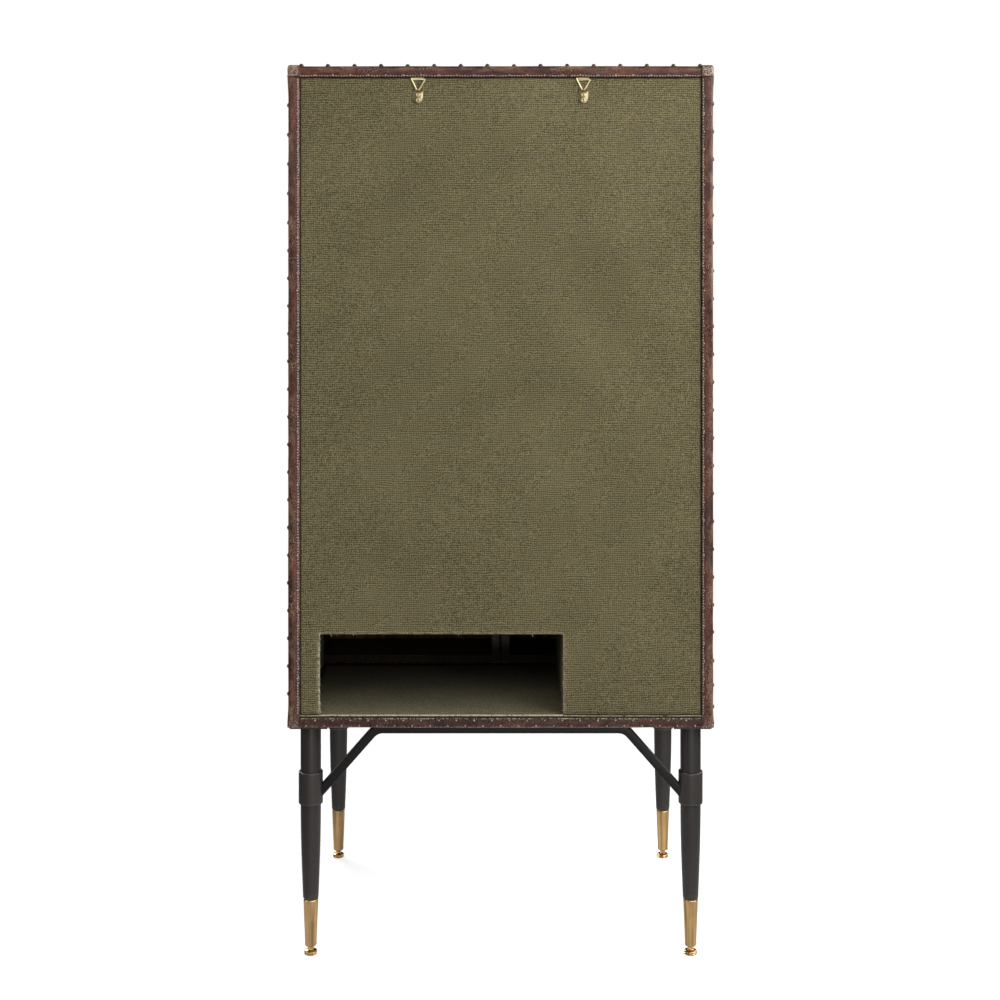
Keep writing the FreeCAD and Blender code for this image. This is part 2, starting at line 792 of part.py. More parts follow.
def bottle_rail(x0, x1, y, z):
    """A round rod with a flange at each end, between the tray's two uprights."""
    along = Vector(1, 0, 0)
    rod = Part.makeCylinder(rail_radius, x1 - x0, Vector(x0, y, z), along)
    ends = [Part.makeCylinder(rail_flange_radius, rail_flange, Vector(x, y, z), along)
            for x in (x0, x1 - rail_flange)]
    return rod.fuse(ends).removeSplitter()


def door_fittings(name, side, x_meet):
    """The pull, the catch's strike plate and the dome nails of one door."""
    save(name + "_door_pull", pull(x_meet + side * pull_from_edge))
    x = side * catch_from_centre
    high = z_door_top - leather_thickness
    save(name + "_door_strike", [block(x - strike_length / 2, x + strike_length / 2, y_door,
                                       y_door + strike_thickness, high - strike_height, high)])
    nails = []
    x_inner, x_outer = x_meet + side * nail_edge, side * (half_width - nail_edge)
    z_low, z_high = z_door + nail_edge, z_door_top - nail_edge
    front = Vector(0, -1, 0)
    for z in (z_low, z_high):
        nails += [dome(Vector(x, y_front, z), front, nail_radius, nail_height)
                  for x in spread(x_inner, x_outer, nail_pitch)]
    for x in (x_inner, x_outer):
        nails += [dome(Vector(x, y_front, z), front, nail_radius, nail_height)
                  for z in spread(z_low, z_high, nail_pitch)[1:-1]]
    for y in (y_front + nail_edge, y_door - nail_edge):
        for z in [height for height in side_nail_heights() if height < z_high]:
            if y > y_seam - leaf_width and near_hinge(z):
                continue
            nails.append(dome(Vector(side * half_width, y, z), Vector(side, 0, 0), nail_radius, nail_height))
    save(name + "_door_nails", nails)


def pull(x):
    """An upright brass bar on two posts."""
    z_middle = z_door + pull_height
    y_bar = y_front - pull_projection + pull_radius
    bar = Part.makeCylinder(pull_radius, pull_length, Vector(x, y_bar, z_middle - pull_length / 2))
    solids = [bar]
    forward = Vector(0, -1, 0)
    for way in (-1, 1):
        foot = Vector(x, y_front, z_middle + way * pull_post_spacing / 2)
        post = Part.makeCylinder(pull_post_radius, pull_projection - pull_radius, foot, forward)
        rosette = Part.makeCylinder(pull_rosette_radius, pull_rosette, foot, forward)
        solids.append(post.fuse(rosette).cut(bar).removeSplitter())
    return solids


carcass()
back()
lining()
shelves()
bottle_rack()
stemware()
catches()
carcass_nails()
edge_tacks()
stand()
hangers()
hinges()
for door_name, door_side in sides.items():
    door(door_name, door_side)
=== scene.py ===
import json
import math

import bmesh
import bpy
import numpy as np
from bpy.props import FloatProperty, FloatVectorProperty, IntProperty, PointerProperty
from bpy.types import Operator, Panel, PropertyGroup
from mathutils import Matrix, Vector


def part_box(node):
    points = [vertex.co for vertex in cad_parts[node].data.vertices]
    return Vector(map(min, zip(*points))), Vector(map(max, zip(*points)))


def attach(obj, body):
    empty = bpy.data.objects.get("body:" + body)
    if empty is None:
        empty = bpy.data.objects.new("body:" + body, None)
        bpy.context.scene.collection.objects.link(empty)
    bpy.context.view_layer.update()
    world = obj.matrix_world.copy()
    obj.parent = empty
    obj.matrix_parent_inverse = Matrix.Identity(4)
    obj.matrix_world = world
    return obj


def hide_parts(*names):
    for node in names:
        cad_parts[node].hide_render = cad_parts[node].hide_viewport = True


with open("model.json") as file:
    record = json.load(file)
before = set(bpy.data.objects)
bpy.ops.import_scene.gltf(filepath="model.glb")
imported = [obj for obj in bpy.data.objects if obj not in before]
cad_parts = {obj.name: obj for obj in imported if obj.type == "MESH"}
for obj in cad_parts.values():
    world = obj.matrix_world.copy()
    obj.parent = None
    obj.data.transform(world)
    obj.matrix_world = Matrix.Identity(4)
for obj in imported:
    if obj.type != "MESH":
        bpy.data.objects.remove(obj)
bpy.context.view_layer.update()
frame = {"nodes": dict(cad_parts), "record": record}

bl_info = {
    "name": "Trunk wine cabinet",
    "version": (1, 0, 0),
    "blender": (4, 5, 0),
    "location": "3D View > Sidebar > Cabinet",
    "description": "Dresses the packed cabinet in canvas, leather, nails, brass and painted steel",
    "category": "Object",
}


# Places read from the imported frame

def span(node):
    """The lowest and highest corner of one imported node, as arrays in metres."""
    low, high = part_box(node)
    return np.array(low), np.array(high)


def stated_opening(name):
    """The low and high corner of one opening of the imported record."""
    stated = frame["record"]["physics"]["openings"]
    return [np.array(corner) for row in stated if row["name"] == name for corner in row["box_m"]]


sides = {"left": -1, "right": 1}
rows = ("front", "rear")
top_low, top_high = span("top_leather")
base_low, base_high = span("bottom_leather")
side_low = span("right_side_leather")[0]
canvas_low, canvas_high = span("back_canvas")
lining_low, lining_high = span("canvas_lining")
opening_low, opening_high = stated_opening("rear_opening")
x_half = top_high[0]
y_front, y_back = top_low[1], top_high[1]
y_carcass = side_low[1]
y_inside = lining_high[1]
z_top, z_under_top = top_high[2], top_low[2]
z_base, z_on_base = base_low[2], base_high[2]
x_board = side_low[0]
y_canvas = canvas_high[1]


def srgb(red, green, blue):
    """A linear colour from the 0 to 255 values that a screen shows."""
    share = np.array([red, green, blue]) / 255
    low = share / 12.92
    high = ((share + 0.055) / 1.055) ** 2.4
    return tuple(float(v) for v in np.where(share <= 0.04045, low, high))


# Sizes and colours that a user may change

def length(label, text, default):
    """A length property in metres."""
    return FloatProperty(name=label, description=text, default=default, unit="LENGTH", precision=5)


def colour(label, text, red, green, blue):
    """A colour property from screen values."""
    return FloatVectorProperty(name=label, description=text, size=3, subtype="COLOR", min=0, max=1,
                               default=srgb(red, green, blue))


class CabinetSizes(PropertyGroup):
    """Sizes of the coverings, nails, legs and fittings."""
    opening_margin: length("Opening margin", "From the stated opening to the panel's edge", 0.001)
    hide_radius: length("Hide bend", "Outer bend of the leather at a board's edge", 0.0036)
    hide_thickness: length("Hide thickness", "Thickness of the leather", 0.0014)
    hide_step: length("Hide step", "Spacing of the leather's grid", 0.009)
    hide_ripple: length("Hide ripple", "Height of the leather's slow waves", 0.00016)
    hide_lap: length("Hide lap", "How far the side leather lies over its neighbours", 0.0005)
    hide_swell: length("Hide swell", "How far a leather strip is padded out in its middle", 0.0014)
    strip_width: length("Strip width", "Width up to which a leather face counts as a strip", 0.021)
    low_wear: length("Low wear", "Height of the rubbed line above the box's underside", 0.0016)
    corner_wear: length("Corner wear", "Reach of the rubbing at the box's low rear corners", 0.014)
    skive: length("Skived edge", "Width of the thinned raw edge of the leather", 0.0016)
    patch_side: length("Corner patch", "Side of the leather patch on a top corner", 0.018)
    patch_lift: length("Patch lift", "How far a corner patch stands on the leather", 0.0011)
    nail_radius: length("Nail radius", "Radius of a dome nail's head", 0.0035)
    nail_height: length("Nail height", "Height of a dome nail's head on the sides", 0.0027)
    top_nail_height: length("Top nail height", "Height of a dome nail's head on the top", 0.0039)
    nail_edge: length("Nail edge", "From a nail row to the edge beside it", 0.0062)
    nail_corner: length("Nail corner", "From the first nail of a top row to the corner", 0.0187)
    nail_pitch: length("Nail pitch", "Spacing of nails on the top and the doors", 0.04)
    side_nail_pitch: length("Side nail pitch", "Spacing of nails on the sides", 0.042)
    rear_nail_pitch: length("Rear nail pitch", "Spacing of nails down the rear edges", 0.0415)
    rear_nail_low: length("Rear nail start", "From the box's underside to the right rear row's first nail",
                          0.0501)
    rear_nail_rise: length("Rear nail rise", "From the top to where the right rear row opens out", 0.2342)
    closing_steps: FloatVectorProperty(
        name="Closing steps", description="Steps up the left rear row, where its nails draw together", size=6,
        unit="LENGTH", precision=5, default=(0.0066, 0.0241, 0.0327, 0.0362, 0.0432, 0.0406))
    side_nail_low: length("Side nail start", "From the box's underside to the first side nail", 0.051)
    side_nail_drop: length("Side nail end", "From the last side nail to the top", 0.014)
    hinge_height: length("Hinge height", "Height of one hinge", 0.07)
    tack_radius: length("Tack radius", "Radius of a small tack's head", 0.0012)
    tack_height: length("Tack height", "Height of a small tack's head", 0.0009)
    tack_pitch: length("Tack pitch", "Spacing of the small tacks", 0.0265)
    strip_drop: length("Strip drop", "How far the base leather stops below its board on the back", 0.004)
    tack_edge: length("Tack edge", "From a tack row to the leather's raw edge", 0.0028)
    stitch_pitch: length("Stitch pitch", "Spacing of the stitches", 0.0041)
    stitch_length: length("Stitch length", "Length of one stitch", 0.0022)
    stitch_radius: length("Stitch radius", "Half the thickness of the thread", 0.00056)
    stitch_edge: length("Stitch edge", "From the stitches to the leather's raw edge", 0.0017)
    canvas_step: length("Canvas step", "Spacing of the canvas grid", 0.006)
    canvas_roll: length("Canvas roll", "Bend of the canvas at its edges", 0.0008)
    canvas_thickness: length("Canvas thickness", "Thickness of the canvas", 0.0008)
    canvas_ripple: length("Canvas ripple", "Height of the canvas's slow waves", 0.00045)
    canvas_calm: length("Canvas calm", "From the canvas's edge to where its waves are full", 0.09)
    canvas_pull: FloatVectorProperty(name="Canvas pull", size=3, default=(3.0, 0.0, 3.0),
                                     description="Way across the diagonal pulls in the canvas")
    weave_pitch: length("Weave pitch", "Spacing of the canvas threads", 0.0016)
    opening_radius: length("Opening corner", "Corner radius of the opening in the canvas", 0.003)
    knee_height: length("Knee height", "Height at which a leg begins to taper", 0.188)
    leg_foot_radius: length("Leg foot radius", "Radius of a leg where the brass begins", 0.0117)
    leg_groove: length("Leg groove", "Depth of the groove between the paint and the brass", 0.0013)
    ferrule_top_radius: length("Ferrule top", "Radius of the brass at its top", 0.01125)
    ferrule_foot_radius: length("Ferrule foot", "Radius of the brass at its foot", 0.0088)
    bar_size: length("Bar size", "Side of the stretcher's square bar", 0.013)
    bar_half_span: length("Bar half span", "From the middle to the stretcher's bend", 0.1885)
    bar_drop: length("Bar drop", "How far the stretcher falls to a collar", 0.0915)
    bar_bend: length("Bar bend", "Reach of the rounded bend in a stretcher", 0.011)
    ring_wire: length("Ring wire", "Radius of a hanger ring's wire", 0.00115)
    ring_pivot: length("Ring pivot", "From a packed ring's lowest point to its pivot", 0.0009)
    ring_flare: length("Ring flare", "How far a ring's top corners are bent out", 0.0013)
    crown_fade: length("Crown fade", "Below a strap's top, where its crown reaches full height", 0.0035)
    turned_sides: IntProperty(name="Turned sides", description="Faces round a turned piece", default=72)


class CabinetColours(PropertyGroup):
    """Colours of the finishes."""
    canvas_dark: colour("Canvas dark", "Canvas between the threads", 82, 75, 51)
    canvas_light: colour("Canvas light", "Canvas on the threads", 122, 114, 84)
    canvas_thread: colour("Canvas thread", "Frayed ends and cut edges of the canvas", 212, 202, 174)
    # leather_dark also serves as painted shade in the creases and at the seams.
    leather_dark: colour("Leather dark", "Creases of the leather", 34, 13, 9)
    leather_mid: colour("Leather", "Body of the leather", 87, 40, 27)
    leather_light: colour("Leather light", "Pulled-up places of the leather", 121, 68, 48)
    # leather_worn also serves as the painted sheen on the strips' bends.
    leather_worn: colour("Leather worn", "Rubbed edges of the leather", 162, 126, 102)
    leather_raw: colour("Leather raw", "Cut edge of the leather", 222, 206, 190)
    thread: colour("Thread", "Stitching thread", 244, 228, 220)
    charcoal: colour("Charcoal", "Paint on the legs and stretchers", 57, 53, 51)
    brass: colour("Brass", "Satin brass of feet, hinges and pulls", 210, 172, 120)
    hanger: colour("Hanger brass", "Plated wire of the hangers", 228, 214, 168)
    strap: colour("Strap brass", "Dull plate of the hanger straps", 136, 127, 95)
    nail: colour("Nail", "Antique dome nails", 104, 80, 60)
    tack: colour("Tack", "Small tacks on the back edges", 188, 168, 150)
    # The walnut colours are kept dark as painted shade, so the door trays stay dark through the opening.
    walnut_dark: colour("Walnut dark", "Dark grain of the shelves", 36, 22, 16)
    walnut_light: colour("Walnut light", "Light grain of the shelves", 70, 44, 30)
    board_dark: colour("Board dark", "Dark grain of the carcass boards", 96, 66, 42)
    board_light: colour("Board light", "Light grain of the carcass boards", 150, 112, 76)
    steel: colour("Steel", "Zinc plated strikes", 176, 178, 180)
    plastic: colour("Plastic", "Matte black catches", 26, 26, 27)


# Shader sums

class Value:
    """One socket of a shader; sums on it add Math nodes."""

    def __init__(self, shader, socket):
        self.shader = shader
        self.socket = socket

    def other(self, name):
        """Another output of the same node."""
        return Value(self.shader, self.socket.node.outputs[name])

    def maths(self, operation, first, second=0.0):
        return self.shader.add("ShaderNodeMath", {"operation": operation}, {0: first, 1: second})

    def __add__(self, term):
        return self.maths("ADD", self, term)

    def __sub__(self, term):
        return self.maths("SUBTRACT", self, term)

    def __rsub__(self, term):
        return self.maths("SUBTRACT", term, self)

    def __mul__(self, factor):
        return self.maths("MULTIPLY", self, factor)

    __radd__ = __add__
    __rmul__ = __mul__

    def sine(self):
        return self.maths("SINE", self)

    def size(self):
        return self.maths("ABSOLUTE", self)

    def larger(self, term):
        return self.maths("MAXIMUM", self, term)

    def raised(self, power):
        return self.maths("POWER", self, power)

    def step(self, low, high):
        """0 below low, 1 above high, smooth between."""
        return self.shader.add("ShaderNodeMapRange", {"interpolation_type": "SMOOTHSTEP", "clamp": True},
                               {"Value": self, "From Min": low, "From Max": high})


class Shader:
    """The node tree of one finish, or of the studio round the cabinet."""

    def __init__(self, name, kept_in="materials"):
        self.owner = getattr(bpy.data, kept_in).new(name)
        self.owner.use_nodes = True
        self.tree = self.owner.node_tree
        self.tree.nodes.clear()

    def add(self, kind, settings=None, inputs=None, output=0):
        """One node: its settings first, then the values or links of its sockets."""
        node = self.tree.nodes.new(kind)
        for key, value in (settings or {}).items():
            if key == "stops":
                self.set_stops(node.color_ramp, value)
            else:
                setattr(node, key, value)
        for key, value in (inputs or {}).items():
            if isinstance(value, Value):
                self.tree.links.new(value.socket, node.inputs[key])
            else:
                node.inputs[key].default_value = value
        return Value(self, node.outputs[output]) if node.outputs else None

    @staticmethod
    def set_stops(ramp, stops):
        """Colour stops of a ramp, given as place and colour."""
        while len(ramp.elements) < len(stops):
            ramp.elements.new(1.0)
        for element, (place, tint) in zip(ramp.elements, stops):
            element.position = place
            element.color = (*tint, 1.0)

    def place(self):
        return self.add("ShaderNodeTexCoord", output="Object")

    def stretched(self, point, scale):
        """The point with each coordinate multiplied by its own number."""
        return self.add("ShaderNodeMapping", {}, {"Vector": point, "Scale": scale})

    def drawn_out(self, point, along, share):
        """The point with one coordinate shortened, so that a pattern grows long that way."""
        return self.stretched(point, [share if axis == along else 1.0 for axis in "XYZ"])

    def noise(self, point, scale, detail=3.0, roughness=0.5):
        return self.add("ShaderNodeTexNoise", {}, {"Vector": point, "Scale": scale, "Detail": detail,
                                                   "Roughness": roughness})

    def cells(self, point, scale, feature="F1"):
        return self.add("ShaderNodeTexVoronoi", {"feature": feature}, {"Vector": point, "Scale": scale},
                        output="Distance")

    def marked(self, name):
        """A number that the mesh carries at its points."""
        return self.add("ShaderNodeAttribute", {"attribute_name": name}, output="Fac")

    def ramp(self, factor, stops):
        return self.add("ShaderNodeValToRGB", {"stops": stops}, {"Fac": factor})

    def blend(self, factor, first, second, mode="MIX"):
        """Two colours mixed by a factor."""
        ends = [tint if isinstance(tint, Value) else (*tint, 1.0) for tint in (first, second)]
        return self.add("ShaderNodeMix", {"data_type": "RGBA", "blend_type": mode},
                        {0: factor, 6: ends[0], 7: ends[1]}, output=2)

    def bump(self, height, strength, distance):
        return self.add("ShaderNodeBump", {}, {"Height": height, "Strength": strength, "Distance": distance})

    def finish(self, **inputs):
        """The surface itself; names of sockets are given with _ for a space."""
        sockets = {}
        for key, value in inputs.items():
            plain_colour = isinstance(value, (tuple, list)) and len(value) == 3
            sockets[key.replace("_", " ")] = (*value, 1.0) if plain_colour else value
        surface = self.add("ShaderNodeBsdfPrincipled", {}, sockets)
        self.add("ShaderNodeOutputMaterial", {}, {"Surface": surface})
        return self.owner


# Finishes

made_finishes = {}


def finish(name, maker, *extra):
    """One finish by name, made once."""
    if name not in made_finishes:
        made_finishes[name] = maker(name, bpy.context.scene.cabinet_colours, *extra)
    return made_finishes[name]


def canvas_cloth(name, tint, across, along, lightness=1.0):
    """Plain weave: each thread is the sine of its own place, over and under its neighbours."""
    shader = Shader(name)
    point = shader.place()
    pitch = bpy.context.scene.cabinet_sizes.weave_pitch
    parts = shader.add("ShaderNodeSeparateXYZ", {}, {"Vector": point}, output="X")
    wander = shader.noise(point, 60.0, 2.0) * 0.9
    warp = ((parts.other(across) * (math.pi / pitch)) + wander).sine()
    weft = ((parts.other(along) * (math.pi / pitch)) + wander).sine()
    over = warp * weft * 0.5 + 0.5
    threads = (warp.size() * over).larger(weft.size() * (1.0 - over))
    weft_slub = shader.noise(shader.drawn_out(point, across, 0.55), 1000.0, 2.0, 0.7) - 0.5
    warp_slub = shader.noise(shader.drawn_out(point, along, 0.6), 1100.0, 2.0, 0.7) - 0.5
    sway = shader.noise(shader.drawn_out(point, across, 0.4), 60.0, 3.0) * 13.0
    ribs = (parts.other(along) * (math.pi / pitch) + sway).sine()
    cords = (parts.other(across) * (math.pi / pitch) - sway).sine()
    patchy = shader.noise(point, 9.0, 3.0, 0.5) - 0.5
    tone = threads * 0.24 + weft_slub * 1.8 + warp_slub * 1.9
    tone = tone + ribs * 0.24 + cords * 0.12 + patchy * 0.3 + 0.38
    dark = [c * lightness for c in tint.canvas_dark]
    light = [c * lightness for c in tint.canvas_light]
    shade = shader.ramp(tone, [(0.0, [c * 0.5 for c in dark]), (0.34, dark), (0.64, light),
                               (1.0, [min(1.0, c * 1.5) for c in light])])
    # Pale thread colour on frayed edges; on the opening's lit side it is also a painted highlight.
    rubbed = shader.marked("fray") * shader.noise(point, 260.0, 2.0).step(0.32, 0.6)
    shade = shader.blend(rubbed, shade, tint.canvas_thread)
    # Painted shade: the canvas is darkened towards its edges where the seam mark is high.
    shade = shader.blend(shader.marked("seam"), shade, [c * 0.1 for c in dark])
    normal = shader.bump(threads * 0.6 + weft_slub * 0.8 + warp_slub * 0.4, strength=0.55, distance=0.0006)
    return shader.finish(Base_Color=shade, Roughness=0.93, Normal=normal, Specular_IOR_Level=0.12,
                         Sheen_Weight=0.06, Sheen_Roughness=0.6)


def waxed_leather(name, tint, along, rub=1.0, depth=1.0):
    """Waxed hide: streaks along the pull, cells for the grain and their borders for creases.

    Specks, and rubbing that doubles as a painted sheen, come near the bends; creases are darkened as painted
    shade; raw flesh, and painted shade at seams, come where the mesh marks them.
    """
    shader = Shader(name)
    point = shader.place()
    wear = shader.marked("wear")
    beside = wear.raised(0.25)
    wax = shader.noise(point, 8.0, 4.0, 0.6)
    streak = shader.noise(shader.drawn_out(point, along, 0.2), 95.0, 4.0, 0.6)
    blotch = shader.noise(point, 52.0, 4.0, 0.65)
    speck = shader.noise(point, 600.0, 3.0, 0.65)
    speckled = shader.noise(point, 22.0, 2.0).step(0.46, 0.62) * beside
    grain = shader.cells(point, 640.0)
    bent = shader.add("ShaderNodeVectorMath", {"operation": "MULTIPLY_ADD"},
                      {0: blotch.other("Color"), 1: (0.016, 0.016, 0.016), 2: point})
    crease = 1.0 - shader.cells(bent, 58.0, "DISTANCE_TO_EDGE").step(0.0, 0.05)
    tone = (wax - 0.5) * 0.6 + (streak - 0.5) * (beside * 0.7 + 0.25) + (blotch - 0.5) * 0.5
    tone = tone + (speck - 0.5) * (beside * 1.2 + speckled * 4.6 + 0.6) + 0.35
    # depth below 1 darkens every colour of the hide; the base strip's 0.6 is painted shade.
    dark, mid, light, pale = [[c * depth for c in shade] for shade in
                              (tint.leather_dark, tint.leather_mid, tint.leather_light, tint.leather_worn)]
    shade = shader.ramp(tone, [(0.14, dark), (0.46, mid), (0.74, light), (1.0, pale)])
    # Creases are darkened towards leather_dark: painted shade in them.
    shade = shader.blend(crease * blotch.step(0.46, 0.62) * 0.6, shade, dark)
    # Rubbed paleness near the bends, which is also the painted sheen along the strips' rounded edges.
    scuff = shader.noise(shader.drawn_out(point, along, 0.35), 110.0, 5.0, 0.7)
    worn_and_sheen = wear * scuff.step(0.44, 0.66) * (0.75 * rub)
    worn_and_sheen = worn_and_sheen.larger(scuff.step(0.68, 0.8) * (0.2 * rub))
    shade = shader.blend(worn_and_sheen, shade, pale)
    raw = shader.marked("raw") * shader.noise(point, 540.0, 2.0).step(0.5, 0.6)
    shade = shader.blend(raw, shade, tint.leather_raw)
    # Painted shade at seams: the hide is darkened where the seam mark is high, round the corner patches'
    # rims.
    shade = shader.blend(shader.marked("seam"), shade, [c * 0.3 for c in dark])
    rough = blotch * 0.18 + worn_and_sheen * 0.2 + raw * 0.3 + 0.46 - beside * 0.26
    height = grain * 0.45 + speck * 0.3 - crease * 0.6 + streak * 0.3
    normal = shader.bump(height, strength=0.3, distance=0.0006)
    return shader.finish(Base_Color=shade, Roughness=rough, Normal=normal, Specular_IOR_Level=0.38)


def painted_steel(name, tint, lightness=1.0):
    """Satin powder paint: a very fine pebble in the height and the gloss, slightly paler where rubbed, and at
    the collars' rims paler as a painted highlight.
    """
    shader = Shader(name)
    point = shader.place()
    pebble = shader.noise(point, 1500.0, 2.0, 0.6)
    cloud = shader.noise(point, 26.0, 4.0, 0.6)
    # Paler paint where the wear mark is high: rubbing at a leg's foot, and a painted highlight along the
    # collars' rims.
    rubbed = shader.marked("wear") * shader.noise(point, 420.0, 3.0, 0.6).step(0.4, 0.66)
    paint = [c * lightness for c in tint.charcoal]
    shade = shader.ramp(cloud, [(0.25, [c * 0.94 for c in paint]), (0.75, [c * 1.08 for c in paint])])
    shade = shader.blend(rubbed * 0.7, shade, [c * 4.0 for c in paint])
    rough = cloud * 0.05 + pebble * 0.02 + 0.32
    normal = shader.bump(pebble, strength=0.025, distance=0.0003)
    return shader.finish(Base_Color=shade, Roughness=rough, Normal=normal, Metallic=0.35,
                         Specular_IOR_Level=0.5)


def brushed_brass(name, tint, shade_name, along, gloss, reflection_banding=1.7):
    """Satin metal: noise drawn out along the brushing for gloss and height, slow clouds for tarnish, and long
    bands in the colour that are painted reflections.
    """
    shader = Shader(name)
    point = shader.place()
    lines = shader.noise(shader.drawn_out(point, along, 0.03), 2600.0, 2.0, 0.6)
    bands = shader.noise(shader.drawn_out(point, along, 0.03), 170.0, 1.0, 0.4)
    cloud = shader.noise(point, 60.0, 4.0, 0.62)
    metal = getattr(tint, shade_name)
    # The bands drawn out along the brushing are painted reflections: dark and bright stripes in the colour.
    tone = (bands - 0.5) * reflection_banding + (cloud - 0.5) * 0.35 + 0.5
    shade = shader.ramp(tone, [(0.12, [c * 0.55 for c in metal]), (0.5, metal),
                               (0.88, [min(1.0, c * 1.45) for c in metal])])
    rough = lines * 0.08 + cloud * 0.08 + gloss
    normal = shader.bump(lines, strength=0.08, distance=0.0002)
    return shader.finish(Base_Color=shade, Roughness=rough, Metallic=1.0, Normal=normal)


def antique_metal(name, tint, shade_name, gloss=0.24):
    """Dark cast heads: rubbed bright in places, brown in the hollows."""
    shader = Shader(name)
    point = shader.place()
    cloud = shader.noise(point, 160.0, 4.0, 0.65)
    pits = shader.noise(point, 1100.0, 2.0, 0.6)
    metal = getattr(tint, shade_name)
    shade = shader.ramp(cloud * 0.7 + pits * 0.3, [(0.3, [c * 0.4 for c in metal]), (0.52, metal),
                                                   (0.74, [min(1.0, c * 1.9) for c in metal])])
    return shader.finish(Base_Color=shade, Metallic=0.9, Roughness=cloud * 0.3 + gloss,
                         Normal=shader.bump(pits, strength=0.3, distance=0.0003))


def grained_wood(name, tint, dark_name, light_name, along):
    """Long fibres: noise drawn out along the grain, with slow bands and short dark pores."""
    shader = Shader(name)
    point = shader.place()
    drawn = shader.drawn_out(point, along, 0.06)
    bands = shader.noise(drawn, 26.0, 4.0, 0.6)
    rings = (bands * 30.0).sine() * 0.5 + 0.5
    fibre = shader.noise(drawn, 420.0, 3.0, 0.65)
    pores = shader.noise(drawn, 900.0, 2.0, 0.5).step(0.6, 0.74)
    tone = rings * 0.14 + bands * 0.5 + fibre * 0.42
    dark, light = getattr(tint, dark_name), getattr(tint, light_name)
    shade = shader.ramp(tone, [(0.28, [c * 0.7 for c in dark]), (0.46, dark), (0.74, light)])
    shade = shader.blend(pores * 0.6, shade, [c * 0.5 for c in dark])
    rough = fibre * 0.2 + 0.46
    normal = shader.bump(fibre * 0.6 - pores, strength=0.22, distance=0.0004)
    return shader.finish(Base_Color=shade, Roughness=rough, Normal=normal)


def spun_thread(name, tint, shade_name):
    """Twisted thread: slanting fibre noise in colour and height."""
    shader = Shader(name)
    point = shader.place()
    twist = shader.noise(point, 1800.0, 3.0, 0.6)
    soil = shader.noise(point, 90.0, 3.0, 0.6)
    base = getattr(tint, shade_name)
    shade = shader.ramp(twist * 0.6 + soil * 0.4, [(0.3, [c * 0.5 for c in base]), (0.55, base),
                                                   (0.8, [min(1.0, c * 1.15) for c in base])])
    normal = shader.bump(twist, strength=0.4, distance=0.0003)
    return shader.finish(Base_Color=shade, Roughness=0.85, Normal=normal)


def moulded_plastic(name, tint):
    """Matte moulding with a fine spark-eroded skin."""
    shader = Shader(name)
    point = shader.place()
    skin = shader.noise(point, 1400.0, 3.0, 0.6)
    shade = shader.ramp(skin, [(0.3, [c * 0.8 for c in tint.plastic]),
                               (0.7, [c * 1.3 for c in tint.plastic])])
    rough = skin * 0.2 + 0.45
    normal = shader.bump(skin, strength=0.2, distance=0.0002)
    return shader.finish(Base_Color=shade, Roughness=rough, Normal=normal)


def back_canvas_finish():
    return finish("olive_back_canvas", canvas_cloth, "X", "Z")


def lining_finish(threads):
    return finish("lining_canvas_" + "".join(threads), canvas_cloth, *threads, 1.02)


def leather_finish(along):
    return finish("waxed_brown_leather_" + along, waxed_leather, along)


# The base hide is the same leather at 0.6 of its colour: a shaded copy, painted shade for the low band.
def strip_finish():
    return finish("dark_brown_leather", waxed_leather, "X", 1.1, 0.6)


def patch_finish():
    return finish("rubbed_brown_leather", waxed_leather, "X", 1.9)


def paint_finish():
    return finish("charcoal_paint", painted_steel)


# A lighter copy of the leg paint at 1.25: painted sheen on the collars.
def collar_finish():
    return finish("collar_paint", painted_steel, 1.25)


# A darker copy of the leg paint at 0.18: painted shade on the stretchers under the box.
def bar_finish():
    return finish("bar_paint", painted_steel, 0.18)


def brass_finish(along="Z"):
    return finish("satin_brass_" + along, brushed_brass, "brass", along, 0.13)


def hanger_finish():
    return finish("plated_hanger", brushed_brass, "hanger", "Z", 0.24, 0.5)


def strap_finish():
    return finish("dull_strap", brushed_brass, "strap", "Z", 0.3, 0.3)


def nail_finish():
    return finish("antique_nail", antique_metal, "nail")


def tack_finish():
    return finish("pale_tack", antique_metal, "tack", 0.2)


def slot_finish(slot, along):
    """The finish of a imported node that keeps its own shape."""
    makers = {
        "walnut": lambda: finish("walnut_" + along, grained_wood, "walnut_dark", "walnut_light", along),
        "carcass_wood": lambda: finish("board_" + along, grained_wood, "board_dark", "board_light", along),
        "black_metal": paint_finish,
        "satin_brass": lambda: brass_finish(along),
        "hanger_brass": hanger_finish,
        "antique_nail": nail_finish,
        "zinc_steel": lambda: finish("zinc_steel", antique_metal, "steel", 0.2),
        "black_plastic": lambda: finish("black_plastic", moulded_plastic),
    }
    return makers[slot]()


# Shapes as arrays

def quad_grid(count, across, wrap=False):
    """Quads of a grid with count rows of points; wrap joins the last column to the first."""
    row = np.arange(count - 1)[:, None] * across
    column = np.arange(across if wrap else across - 1)[None, :]
    right = (column + 1) % across
    corners = [row + column, row + right, row + across + right, row + across + column]
    return np.stack(corners, -1).reshape(-1, 4)


def joined(parts):
    """Several shapes as one, with the quads renumbered."""
    counts = [len(points) for points, _ in parts]
    starts = np.cumsum([0] + counts[:-1])
    points = np.concatenate([points for points, _ in parts])
    quads = np.concatenate([quads + start for (_, quads), start in zip(parts, starts)])
    return points, quads


def unit(vectors):
    """Vectors scaled to length one."""
    return vectors / np.linalg.norm(vectors, axis=-1, keepdims=True)


def cross_ways(direction):
    """Two unit vectors square to each direction and to each other."""
    direction = np.atleast_2d(np.asarray(direction, float))
    upright = np.abs(direction[:, 2:]) > 0.9
    helper = np.where(upright, [[1.0, 0.0, 0.0]], [[0.0, 0.0, 1.0]])
    first = unit(np.cross(helper, direction))
    return first, np.cross(direction, first)


